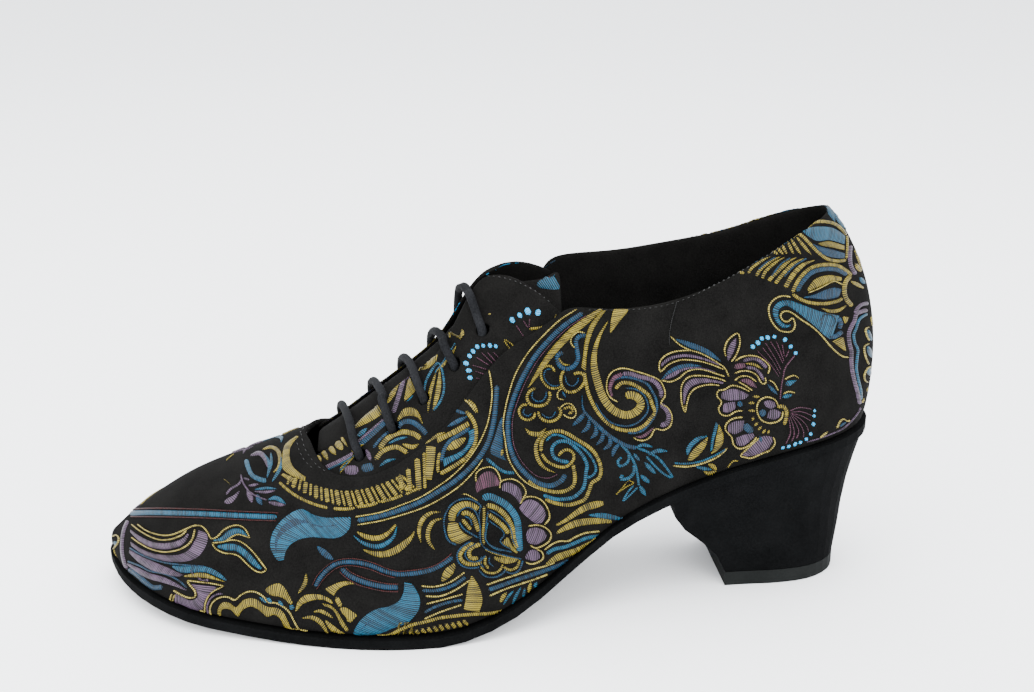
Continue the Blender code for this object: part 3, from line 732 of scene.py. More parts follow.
# %% Chart of the vamp's middle
VAMP = (
    ("cream", "field", 0, "223,478 230,484|225,480 231,485"),
    ("lilac", "cord", 1.8, "241,474 242,480 245,486 250,492 258,497 267,500"),
    ("lilac", "cord", 1.8, "242,480 238,485 231,489 226,495"),
    ("lilac", "drop", 7, "224,503 232,499 240,491"),
    ("lilac", "leaf", 6, "247,489 250,496 252,503"),
    ("blue", "leaf", 6, "257,494 259,500 262,505"),
    ("sky", "leaf", 5, "268,500 276,498 286,504"),
    ("lilac", "leaf", 4.5, "268,502 277,504 286,505"),
    ("lilac", "leaf", 3, "248,486 259,484"),
    ("sky", "leaf", 3, "254,490 266,488 277,489"),
    ("lilac", "leaf", 3, "254,491.5 266,492 276,490.5"),
    ("lilac", "leaf", 2.5, "243,478 250,480"),
    ("sky", "band", 5, "246,459 248,467 252,475 259,479 267,481"),
    ("gold", "leaf", 4.5, "262,450 271,447 278,451 280,460 278,468 273,473"),
    ("sky", "leaf", 4, "281,456 281,464 278,472 272,482"),
    ("lilac", "leaf", 5.5, "250,456 259,453 265,458 268,468"),
    ("sky", "leaf", 4, "263,453 268,461 269,471"),
    ("sky", "leaf", 4, "271,452 271,462 267,478"),
    ("gold", "field", 0,
     "297,436 289,441 284,446 282,456 282,468 290,475 305,482|299,436 293,443 290,450 290,458 293,466 "
     "299,472 306,477"),
    ("gold", "field", 0, "281,475 285,478 292,483|283,473 288,475 297,479"),
    ("gold", "band", 3.2, "279,482 288,490 300,498 315,504.5 328,508"),
    ("gold", "band", 3.4, "333,508.5 345,509 355,508"),
    ("gold", "band", 3.4, "356,507 368,505.5 378,503"),
    ("gold", "band", 3.4, "380,502 392,499 403,495"),
    ("gold", "band", 3, "405,494.5 413,491 421,487"),
    ("sky", "field", 0,
     "277,561 270,548 271,535 277,524 287,514 299,508 306,510 313,514 325,517 338,517 350,517|284,560 "
     "286,552 291,545 300,540 312,538 325,539 336,539 345,535 350,528 351,519"),
    ("blue", "field", 0,
     "274,553 273,541 276,531 283,521 293,514 304,514 318,520 336,520 347,520|279,552 281,544 286,538 "
     "296,534 310,533 325,533 337,532 344,528 347,521"),
    ("blue", "leaf", 7, "317,546 322,551 328,556 334,560"),
    ("blue", "band", 5,
     "315,587 320,578 327,570 336,564 347,562 360,563 372,566 384,571 396,574 408,574 420,572.5 "
     "432,569.5 443,564 453,557"),
    ("red", "cord", 0.9,
     "312,586 317,576 325,567.5 335,561 348,558.5 361,559.5 374,563 386,568 397,571 409,570.5 421,569 "
     "433,566 443,560.5 452,553"),
    ("red", "cord", 0.9, "316,590 323,580 330,573 338,567.5 348,565.5 359,566.5 371,569.5 383,574.5 396,578"),
    ("blue", "band", 5.5, "341,568 348,575 358,580 370,584 385,587 399,587.5"),
    ("red", "cord", 0.9, "345,567 352,572.5 362,577 373,580.5 387,583.5 399,584"),
    ("red", "cord", 0.9, "339,571 347,578 357,584 370,588 385,591 399,591.5"),
    ("sky", "field", 0,
     "352,641 353,632 358,622 366,614 376,608.5 388,606 398,601 403,592 404,582|362,641 372,637 "
     "384,633 396,628 407,624 415,617 420,608 420,597 413,584"),
    ("blue", "leaf", 8, "358,632 370,622 385,617 400,611 410,601 411,590"),
    ("cream", "cord", 1.5,
     "355,517 380,512.5 400,505.5 420,497.5 437,487 452,476 466,462 478,445 486,428 490,412 492,395 "
     "491,381 489,370"),
    ("blue", "band", 5.5,
     "357,520.5 380,516 400,510 420,502 440,490.5 455,481 470,468 481,455 489,440 494,420 496,400 "
     "497,385"),
    ("cream", "cord", 1.5, "357,525 380,521 400,515.5 420,509 435,502 450,493 463,483 475,470 483,459"),
    ("gold", "field", 0,
     "357,531 366,534 376,535.5 386,532 395,524|357,533 364,538.5 374,541 384,539 392,532 397,525"),
    ("sky", "leaf", 5, "353,535 360,541 368,545 378,546.5 387,543 394,536 397,526"),
    ("gold", "field", 0,
     "363,549 373,551 384,551 394,547 403,541 411,535 414,530|363,550 370,554.5 380,557.5 390,556.5 "
     "400,552 409,544 415,534"),
    ("gold", "leaf", 5, "441,512 431,513 423,519 419,530 421,543"),
    ("gold", "leaf", 5, "443,518 433,522 428,532 429,542 435,550"),
    ("cream", "cord", 1.5, "421,586 435,586.5 450,582 465,572"),
    ("blue", "band", 3.8, "422,590.5 436,590.5 452,586 466,577"),
    ("cream", "cord", 1.5, "425,596 440,596 455,590 470,580"),
    ("cream", "cord", 1.5, "426,604 445,599 463,594"),
    ("blue", "band", 3.2, "424,613 435,607 450,602 463,600"),
    ("cream", "cord", 1.5, "424,619 440,612 462,604.5"),
    ("gold", "field", 0, "454,563 446,568 442,575 441,582|456,567 453,574 448,579 443,582"),
    ("gold", "field", 0, "471,576 467,588 465,600 463,610|473,576 480,588 483,600 480,612"),
    ("cream", "cord", 1.2, "462,494 468,495 478,501"),
    ("gold", "band", 3.6, "376,639 390,635 400,630 412,625 425,622 440,618 455,616 470,614.5 490,613.5 503,611"),
)

# %% Chart of the big flower
FLOWER = (
    ("gold", "field", 0,
     "448,521 449,511 455,504.5 464,501 473,502.5 480,507|455,521 457,514 461,510 467,508 472,509 "
     "476,512"),
    ("gold", "field", 0, "448,523 447,532 450,540 458,545|458,522 460,528 466,534 474,537"),
    ("gold", "band", 5, "461,514 467,513 473,517 476,524 479,532"),
    ("gold", "band", 4, "462,519 467,525 471,530"),
    ("blue", "cord", 2.2, "457,545 449,541 445,532 444,520 447,511 452,504 460,499.5 470,499 478,503 482,508"),
    ("blue", "cord", 2, "457,517 460,511 467,507 474,510 478,517 480,528 479,536"),
    ("blue", "cord", 2, "459,522 464,529 472,534 479,538"),
    ("blue", "cord", 2, "464,516 470,519 472,526"),
    ("blue", "cord", 2.2, "471,541 462,547 457,555 460,564 469,568 480,567"),
    ("gold", "band", 4.5, "474,543 465,548 460,556 465,563 476,564 482,561"),
    ("gold", "band", 4.5, "481,544 473,547 469,552 471,558 479,558"),
    ("blue", "cord", 2, "476,543 468,548 465,555 470,561 479,561 486,555"),
    ("gold", "cord", 2.4, "480,566 486,572 494,573 500,570 503,564"),
    ("blue", "cord", 2, "478,569 485,576 495,577 503,573 506,568"),
    ("gold", "band", 3, "486,556 485,563 489,569"),
    ("blue", "cord", 2, "482,556 480,562 484,568"),
    ("blue", "cord", 1.8, "490,556 489,562 494,567"),
    ("gold", "field", 0, "493,556 500,557 510,558 519,559|495,560 501,563 508,564 515,562"),
    ("gold", "band", 3, "503,567 510,570 517,567 520,560"),
    ("blue", "cord", 2, "505,571 512,573.5 519,570 523,560"),
    ("gold", "band", 3, "484,506 484,520 483,534 484,545"),
    ("blue", "cord", 1.8, "481,504 479,515 480,530 481,543 488,550 500,554 512,557 522,559"),
    ("blue", "cord", 1.8, "488,511 486,525 485,538 490,545 499,549 512,552"),
    ("sky", "cord", 1.4, "488,521 486,532 486,540 492,547 502,551"),
    ("gold", "band", 5, "488,514 496,520 503,526 509,534"),
    ("gold", "band", 5.5, "486,505 494,507 502,512 508,519 512,528 514,539 518,549"),
    ("blue", "cord", 1.8, "489,510 498,515 506,522 511,530 513,541 518,549"),
    ("blue", "cord", 1.6, "488,520 495,525 502,530 504,535 500,541 505,546 512,549"),
    ("gold", "field", 0, "503,541 508,537 512,545 518,552|501,544 505,546 511,550 517,554"),
    ("gold", "band", 2.6, "485,549 494,553 506,556.5 519,559.5"),
    ("sky", "band", 7.5, "482,499 489,496.5 497,499.5 505,504 512,511 517,520 518.5,531 519,542 520,552"),
    ("rose", "field", 0,
     "475,485 478,478 484,472 491,471 496,475 500,482|477,493 482,490 488,488 493,487 497,486 500,486"),
    ("cream", "cord", 1.5, "476,482 476,474 481,469 489,467 495,469 499,475 501,482"),
    ("lilac", "field", 0, "502,484 508,482 516,485 521,490 522,497|502,491 506,492 512,495 517,500 520,505"),
    ("cream", "cord", 1.5, "500,489 500,483 504,480 512,479 519,482 524,487 526,493 523,498 520,504"),
    ("lilac", "field", 0,
     "524,501 531,499 538,502 544,508 546,515 543,521|519,508 522,513 526,517 531,521 536,524 541,523"),
    ("cream", "cord", 1.5, "520,504 524,498 531,496.5 539,498.5 545,504 549,512 549,519 544,525"),
    ("lilac", "field", 0, "528,529 536,527 544,530 547,536|526,535 528,543 536,545 544,541"),
    ("cream", "cord", 1.5, "528,526 538,525 546,528 551,534 549,541 542,546 535,548 530,545"),
    ("lilac", "field", 0, "525,556 530,550 537,550 540,555|526,559 531,561 536,561 540,558"),
    ("cream", "cord", 1.5, "536,549 542,552 543,558 538,562 531,564 525,562"),
    ("gold", "field", 0,
     "555,525 565,518.5 575,510.5 585,504 595,501 604,501|557,526 567,522 577,516 587,511 597,508 "
     "604,505"),
    ("gold", "field", 0,
     "556,532 565,525 575,520 587,518 600,518 612,520|557,534 567,530.5 577,527 588,525 600,524 "
     "612,523"),
    ("sky", "leaf", 6, "588,515 605,516 625,520"),
    ("cream", "cord", 1.5, "544,550 552,544 560,541 568,541 575,537 585,533 600,531"),
    ("sky", "band", 4, "546,554 555,549 565,547 575,543 587,538 600,536"),
    ("gold", "field", 0,
     "545,564 555,555 565,551 575,548 588,542 598,538|546,566 556,562 566,558 576,554 588,548 598,541"),
    ("cream", "cord", 1.6, "486,585 500,580 515,575 530,570 545,566 555,562"),
    ("blue", "band", 4.5, "488,590 500,586 515,580.5 530,575.5 545,570.5 560,565 570,560"),
    ("cream", "cord", 1.5, "489,596 505,589 520,584 535,579 548,574"),
    ("gold", "leaf", 4.5, "507,592 503,597 500,603"),
    ("sky", "leaf", 3, "514,590 508,597 503,605"),
    ("sky", "leaf", 3.5, "521,587 516,596 512,605"),
    ("sky", "leaf", 3.5, "525,588 523,598"),
    ("gold", "leaf", 4, "531,582 528,593"),
    ("sky", "leaf", 4, "537,582 534,588"),
)

# %% Chart of the waist: scrolls, curls and the feather branch
WAIST = (
    ("gold", "band", 4.5, "440,474 449,469 459,463 468,456 474,446 476,435 475,425 471,417 465,411"),
    ("gold", "field", 0, "426,446 425,460 424,479|436,446 435,460 432,480"),
    ("gold", "band", 3.6, "440,452 438,462 438,473"),
    ("sky", "field", 0,
     "444,467 452,462 461,457 469,449 475,440 475,428|443,458 450,456 459,452 466,446 469,438 468,431"),
    ("blue", "band", 4.5, "441,462 444,450 450,441 459,435 470,428"),
    ("gold", "leaf", 9, "446,450 466,438"),
    ("gold", "field", 0, "436,437 446,433 457,427 468,421|438,443 448,438 459,433 470,426"),
    ("blue", "leaf", 5, "447,427 458,421 468,416"),
    ("blue", "leaf", 4, "452,408 460,412 467,414"),
    ("gold", "band", 4.5, "443,420 450,414 457,406 464,396"),
    ("gold", "leaf", 4, "468,399 474,406 478,413"),
    ("sky", "cord", 2.4, "426,421 433,418 441,418"),
    ("gold", "leaf", 4, "428,436 434,430 441,424"),
    ("blue", "field", 0, "502,416 498,425 494,438 490,449 491,455|503,418 503,430 503,443 504,455 507,461"),
    ("gold", "leaf", 4.5, "502,448 501,457"),
    ("cream", "cord", 1.5,
     "577,309 560,320 543,336 528,353 516,373 509,393 505,410 503,425 505,440 508,457 514,469 521,478 "
     "530,485 540,489"),
    ("blue", "band", 5.5,
     "583,313 565,325 548,341 534,358 523,377 515,395 509,415 508,432 510,447 516,462 524,472 533,480 "
     "543,485 552,485.5 561,481 566,474"),
    ("rose", "cord", 0.9,
     "587,315 569,327 552,343 538,360 527,379 519,397 513,416 512,432 514,446 520,459 528,469 537,476 "
     "548,478 558,474"),
    ("sky", "band", 3.5, "486,458 492,463 498,468 505,472 515,473"),
    ("gold", "field", 0,
     "600,308 583,318 568,330 553,346 542,361 533,377 527,389|604,309 590,322 577,333 566,343 556,354 "
     "549,362 540,374 532,384"),
    ("gold", "field", 0, "600,312 590,325 585,340 583,355 581,368|607,309 596,325 590,340 587,355 586,372"),
    ("gold", "horn", 8.5,
     "608,321 600,335 595,350 594,365 597,380 602,395 609,406 618,413 628,415 637,411 641,404 638,398 "
     "631,395 625,396"),
    ("gold", "band", 4,
     "584,372 587,388 592,402 600,415 610,425 622,430 635,430 645,425 651,418 655,412 652,404 649,396 "
     "642,390 632,384 622,383 615,389"),
    ("blue", "cord", 2, "595,402 602,414 612,423 625,426 635,424 643,418 648,410 647,401 643,394 635,389 625,388"),
    ("blue", "band", 3,
     "609,388 614,380 624,377 636,379 647,384 652,391 656,399 657,407 655,415 650,423 643,430 634,433 "
     "627,432"),
    ("rose", "field", 0, "611,398 608,388 612,377 621,372|613,395 612,388 616,380 623,377"),
    ("lilac", "band", 5, "622,374 631,374 640,377 650,379 657,384 661,391 661,398"),
    ("lilac", "band", 5.5, "660,404 666,409 669,416 667,423 660,426"),
    ("rose", "leaf", 3.5, "654,427 648,433 641,437 634,436"),
    ("cream", "cord", 1.5,
     "618,402 611,398 607,391 607,381 611,373 618,369 626,368.5 635,371 648,375 659,380 664,388 "
     "665,396 661,403 668,408 672,417 670,426 663,430 655,429 651,436 645,440 638,440 633,437"),
    ("gold", "band", 2.6, "555,372 552,367 547,366 542,369 541,376 544,383 550,388 558,388 562,386"),
    ("blue", "cord", 1.8, "552,369 546,370 544,376 547,382 553,386 560,385"),
    ("gold", "band", 3.2, "564,370 561,377 562,386 568,392 576,391 582,386 585,379 581,373 573,374"),
    ("blue", "cord", 1.8, "565,375 567,383 573,386 578,381 578,377"),
    ("gold", "band", 3.2, "536,388 530,391 527,397 530,404 538,406 546,404 550,397 549,391"),
    ("blue", "cord", 2, "533,391 532,397 536,401 542,401 546,396 546,391"),
    ("gold", "band", 2.8, "528,405 523,405 519,410 521,417 528,420 534,417 535,412"),
    ("blue", "cord", 1.8, "525,408 523,413 528,416 532,413"),
    ("gold", "band", 3.2, "538,411 540,417 546,421 553,421 559,417 561,411 558,407"),
    ("blue", "cord", 1.8, "541,413 546,417 552,417 556,411"),
    ("cream", "cord", 1.5, "560,408 565,404 571,404 575,409 576,414 573,418 567,417 563,414"),
    ("gold", "band", 3, "563,409 570,407 573,411 568,414"),
    ("cream", "cord", 1.4, "563,388 558,392 558,398 564,400"),
    ("blue", "leaf", 2.4, "562,391 566,398"),
    ("gold", "leaf", 5, "525,428 530,433 540,434 546,428"),
    ("blue", "band", 4.8, "586,335 580,336 576,341 577,350 578,359 574,366 567,369 560,366 557,359 559,354 564,353"),
    ("gold", "leaf", 2.4, "558,357 563,364 570,365"),
    ("cream", "cord", 1.5, "585,333 578,332 572,337 571,343 575,348"),
    ("gold", "field", 0, "613,309 611,318 610,327 610,334|630,308 627,313 621,320 614,329"),
    ("gold", "band", 4,
     "541,452 542,441 549,433 559,431 568,434 576,439 586,445 594,452 599,461 601,470 599,478 592,483 "
     "589,491 585,499 577,503 567,505 555,503 545,499"),
    ("sky", "band", 2.8, "546,441 553,435 562,436 571,441 580,446 588,453 594,462 596,470 592,476 585,478"),
    ("gold", "band", 3.2, "541,453 547,461 556,466 565,467 572,462 574,455 569,450 563,451 558,456"),
    ("sky", "band", 4,
     "569,462 561,461 554,457 552,449 556,443 563,441 570,443 577,449 583,456 587,465 586,473 585,483 "
     "582,490 574,497 565,499 555,499 543,495"),
    ("gold", "leaf", 4.5, "549,430 541,436 536,446 538,459 545,468 556,473"),
    ("gold", "band", 4, "573,464 575,478 573,486 565,491 555,492 545,490 535,486 528,480"),
    ("blue", "horn", 4.5, "582,394 583,408 588,416 597,425 607,434 617,441 627,446 637,448"),
    ("sky", "band", 2.8, "637,448 648,452 659,459 668,470 673,478"),
    ("sky", "band", 2.6, "646,456 655,466 664,474 672,478"),
    ("blue", "leaf", 5.5, "586,411 580,419 572,426"),
    ("blue", "leaf", 5, "589,418 588,427 581,433"),
    ("blue", "leaf", 5, "595,424 596,433 590,439"),
    ("blue", "leaf", 5, "603,430 602,439 596,445"),
    ("blue", "leaf", 5, "609,435 610,444 603,450"),
    ("blue", "leaf", 5, "620,443 615,449 612,457"),
    ("sky", "band", 3, "626,448 629,456 627,463 620,466 618,461 622,457"),
    ("sky", "band", 3.6, "634,464 634,472 629,478 621,479 623,474"),
    ("sky", "band", 3, "620,444 628,452 634,462 637,472 639,486"),
    ("sky", "band", 2, "634,485 628,492 623,501 631,494 638,487"),
    ("sky", "leaf", 5, "639,485 646,496"),
    ("sky", "leaf", 5, "640,475 650,483"),
    ("sky", "leaf", 5, "644,462 656,474"),
    ("sky", "leaf", 4, "633,453 640,461"),
    ("sky", "leaf", 4, "635,448 643,445 653,447"),
    ("sky", "leaf", 4.5, "648,455 657,451 668,451"),
    ("gold", "cord", 1.2, "642,497 637,507 632,514 641,507 649,504 644,500 642,497"),
)
print("charted shapes:", len(TOE) + len(VAMP) + len(FLOWER) + len(WAIST))

# %% [markdown]
# The quarter carries an open flower with two fans of beaded threads, and the heel a hook, a
# fan of horns and a column of small leaves. Their rows are read in the same way.

# %% Chart of the quarter: the open flower with its threads and beads
QUARTER = (
    ("blue", "field", 0, "675,338.5 687,341 700,345.5 710,350.5 721,360|677,341 687,347 700,352 710,357 721,362"),
    ("cream", "cord", 1.5, "670,336 680,345 690,350 700,353 710,358 718,363 725,368.5 729,377"),
    ("lilac", "field", 0,
     "661,363 668.5,357 678.5,354.5 688.5,354 700,356.5 711,360 720,364.5|661.5,367 670,360.5 "
     "680,357.5 690,357.5 701,359.5 712,363 720,366"),
    ("cream", "cord", 1.5,
     "692,350.5 683,350.5 673,352 664,356.5 659.5,363 660.5,371.5 668.5,364.5 680,360 690,360 "
     "701,361.5 713,365 724,369.5"),
    ("blue", "leaf", 5, "661,380 669,372.5 679,367.5 690,365.5 702,366"),
    ("lilac", "field", 0,
     "665,377 672,372 681,368 691,366.5 702,367.5 715,371|664,380 673,377.5 682,371.5 691,369 702,369 "
     "716,372.5"),
    ("cream", "cord", 1.5, "661,380 670,381.7 679,378 687,371.5 697,369 707,370.5 717,374 725,376.5"),
    ("lilac", "field", 0,
     "683,403 683,391.5 686,383 693,378.5 704,378 716,380 724,382|684.5,404.5 686.5,396 690,388.5 "
     "697,384.5 706,383 716,383 723,384.5"),
    ("cream", "cord", 1.5,
     "726,381.5 720,379 711.5,377 700,375.5 688.5,377 682,384.5 681,394.5 682,404.5 685,411.5 687,403 "
     "689.5,394.5 695,388.5 703,385.5 711.5,384.5 720,385.5"),
    ("gold", "leaf", 4, "685,405 685,413"),
    ("lilac", "leaf", 7, "728,361 731,350 736,338"),
    ("cream", "cord", 1.5, "726,357 724.5,350 727,341.5 733,335.5 738,333.5 740,341 738.5,349 735.5,356 731,362"),
    # the fan of ice blue dots
    ("ice", "band", 4.6, "750.8,345 755,348.4"),
    ("ice", "band", 4.6, "756,340.5 760,345"),
    ("ice", "band", 4.4, "760,336.8 763.8,340.4"),
    ("ice", "band", 4.4, "765.8,335.3 769.6,339.7"),
    ("ice", "band", 4.4, "773.6,334.6 775.2,338.8"),
    ("ice", "band", 4.2, "783.6,342 786.6,337.2"),
    ("ice", "band", 4.2, "788.9,348.4 792.7,344.8"),
    ("ice", "band", 4.2, "794,354.6 797.4,351.6"),
    ("rose", "cord", 1.3, "780,400 781,388 783,377 785,368 790,361 795,355"),
    ("rose", "cord", 1.0, "779,377 770,364 757,350.5"),
    ("rose", "cord", 1.0, "780,374 772,360 762,347"),
    ("rose", "cord", 1.0, "781,370 773,355 765,342.5"),
    ("rose", "cord", 1.0, "783,364 777,352 770,341"),
    ("rose", "cord", 1.0, "784,362 780,351 776,341"),
    ("rose", "cord", 1.0, "784,357 782,344"),
    ("rose", "cord", 1.0, "785,358 789,350"),
    ("lilac", "band", 4, "743,361 752,358.5 760,361 767,368"),
    ("gold", "leaf", 3, "745,363.5 754,364.5 763,369.5"),
    ("rose", "band", 6, "734,367.5 740,366 746,365.5"),
    ("lilac", "band", 3.5, "746,367.5 754,368.5 760,373.5 764,381"),
    ("cream", "cord", 1.5, "735,361 741.5,357 750,355.5 758.5,357 765.5,361.5 769.5,367 768,374"),
    ("cream", "cord", 1.5, "734,373.5 741.5,371 750,371.5 757,375.5 760,381 763,384 766,382 765,377"),
    ("cream", "cord", 1.5, "734,381 740,376.5 748.5,376.5 757,382"),
    ("cream", "cord", 1.5, "738,381.5 746,386 753,391"),
    ("rose", "leaf", 6, "740,380.5 748,381.5 757,388"),
    ("lilac", "field", 0,
     "721,393 726,390 733,388.5 740,390 748.5,394.5|721.5,398.5 728.5,401 737,400.5 744,399.5 748,397"),
    ("lilac", "field", 0, "723,404 728.5,402 735,401.5|723,412 729,413 736,408.5"),
    ("blue", "band", 6.5, "737,405 743,403"),
    ("cream", "cord", 1.5,
     "750,391.5 740,387 731.5,385.5 724.5,389.5 718.5,390.5 717,396 721.5,402 718.5,408.5 721.5,414.5 "
     "728.5,415.5 735.5,411.5 743,410.5"),
    ("lilac", "field", 0, "728,424.5 735,421 745,420|728,432.5 735,434.5 743,431"),
    ("blue", "band", 8, "744,424 748,428.5 753,432"),
    ("lilac", "field", 0, "735,438 744,434.5 753,433|737,445.5 744,446 755,437"),
    ("cream", "cord", 1.5,
     "743,417 733,418.5 726.5,423.5 725.5,430 731.5,437 733.5,444.5 738.5,448.5 746,447 753,441.5 "
     "757,436.5"),
    ("lilac", "field", 0,
     "741,455.5 751.5,445.5 760,437 767,435.5 772,437|746,456.5 756,455.5 764.5,451.5 770,447 773,441"),
    ("blue", "leaf", 5, "760,436 762,446"),
    ("cream", "cord", 1.4, "759,438 750,446 740.5,455.5 744.5,457 751,458 761.5,453.5 770,450 775,443 773,436.5"),
    # gold dashes round the heart
    ("gold", "leaf", 3, "752.5,396.5 760,396.8"),
    ("gold", "leaf", 3.4, "748.5,403 755,403"),
    ("gold", "leaf", 3, "748,410.5 756,411"),
    ("gold", "leaf", 3, "754,416.5 752,421"),
    ("gold", "leaf", 3, "758.5,422 754,426.5"),
    ("gold", "leaf", 3, "762,426 757.5,430.5"),
    ("gold", "leaf", 3, "766,429 762,434"),
    ("gold", "leaf", 2.6, "769.5,430 767.5,434"),
    ("cream", "cord", 1.6,
     "778,406.5 776.5,401.5 773,398.5 766.5,397 760,400 757,406 757.5,413 761.5,420 768.5,423 776,422 "
     "781.5,418 783,411"),
    ("lilac", "field", 0, "763,402 769,400 775,402|766,407 771,409 776,407"),
    ("blue", "band", 8, "759.5,411 766,415"),
    ("lilac", "field", 0, "769,410 775,409 781,412|767,418 774,420 780,417"),
    ("gold", "band", 4, "777,407 783,406.5 786.5,411 786,419 784,425"),
    ("blue", "leaf", 4, "767,384 778,395"),
    ("cream", "cord", 1.4, "768.5,380 774,383 778.5,391"),
    ("cream", "cord", 1.4, "784,380 788.5,377 794.5,375.5 799,378.5"),
    ("sky", "drop", 6.5, "785,385 797,380"),
    ("cream", "cord", 1.4, "783,394 788.5,391.5 795.5,393"),
    ("sky", "leaf", 4.5, "782,397.5 792.5,394.5"),
    # sprig of leaves
    ("sky", "field", 0,
     "687,456 686,449 690,442.5 697,437 707,435.5|688.5,454 693,446.5 700,440.5 704,438 707.5,436.5"),
    ("gold", "field", 0, "687,461 691,452 698.5,444.5 707.5,437|692.5,460.5 700,454.5 706,446 708,438.5"),
    ("sky", "field", 0, "710,452 711,441 713.5,430 715.5,422.5|712.5,450 714.5,439 717.5,429 718.5,423"),
    ("gold", "field", 0, "710,455 714,447 716,437 718.5,425|718,450 723,444 723.5,434 719,424"),
    ("sky", "cord", 1.8, "673.5,463 687,463.5 701.5,461 715.5,455 726,449"),
    ("cream", "cord", 1.7, "672.5,465.7 687,466.5 701.5,463.5 717,457 727.5,448"),
    ("sky", "leaf", 4, "695,466.5 703,468.5 712,469.5"),
    ("gold", "leaf", 4, "703,471 709,473.5 717,470.5"),
    ("gold", "leaf", 5, "708,464 713,466.5 717,470"),
    ("gold", "cord", 1.0, "727,468 733,461 738.5,461"),
    # the second fan
    ("rose", "cord", 1.1, "789,411 799,407.5 812,409"),
    ("rose", "cord", 1.1, "790,412 801,411.5 812,415.5"),
    ("rose", "cord", 1.1, "790,413 801,415.5 811,421"),
    ("rose", "cord", 1.1, "790,413 799,418 806,425 808.5,432"),
    ("rose", "cord", 1.1, "790,414 797,420 803,430 803,438"),
    ("rose", "cord", 1.1, "790,414 795,422 798.5,431 796,439"),
    ("rose", "cord", 1.1, "789,415 792.5,424 794,434 791,442"),
    ("rose", "cord", 1.1, "788,416 790,426 790,434 785.5,444"),
    ("ice", "band", 4, "813,410.8 816.4,410.6"),
    ("ice", "band", 3.6, "812.2,416 816,415.8"),
    ("ice", "band", 5, "811.3,424.3 815.6,424.1"),
    ("ice", "band", 4, "810.3,436 811.1,432"),
    ("ice", "band", 3.6, "804.8,440.8 807.8,437.6"),
    ("ice", "band", 3.4, "798.4,443.8 802.4,441.2"),
    ("ice", "band", 3.4, "793.6,446.4 796.8,442"),
    ("ice", "band", 3.2, "786.8,448 791,445"),
    ("ice", "band", 3, "781,449.2 785,446.4"),
    ("cream", "cord", 1.3, "836.5,428.5 840,421 844,419 847.5,421.5 850,419.5"),
    ("blue", "leaf", 2.5, "839,427 846.5,421.5"),
    ("cream", "leaf", 2.6, "819.5,438.5 828,431.5"),
    ("lilac", "cord", 1.0, "860.5,407 857.5,413 851,421 842.5,428.5 833,433 820,438 806,442"),
)
print("quarter:", len(QUARTER), "shapes")

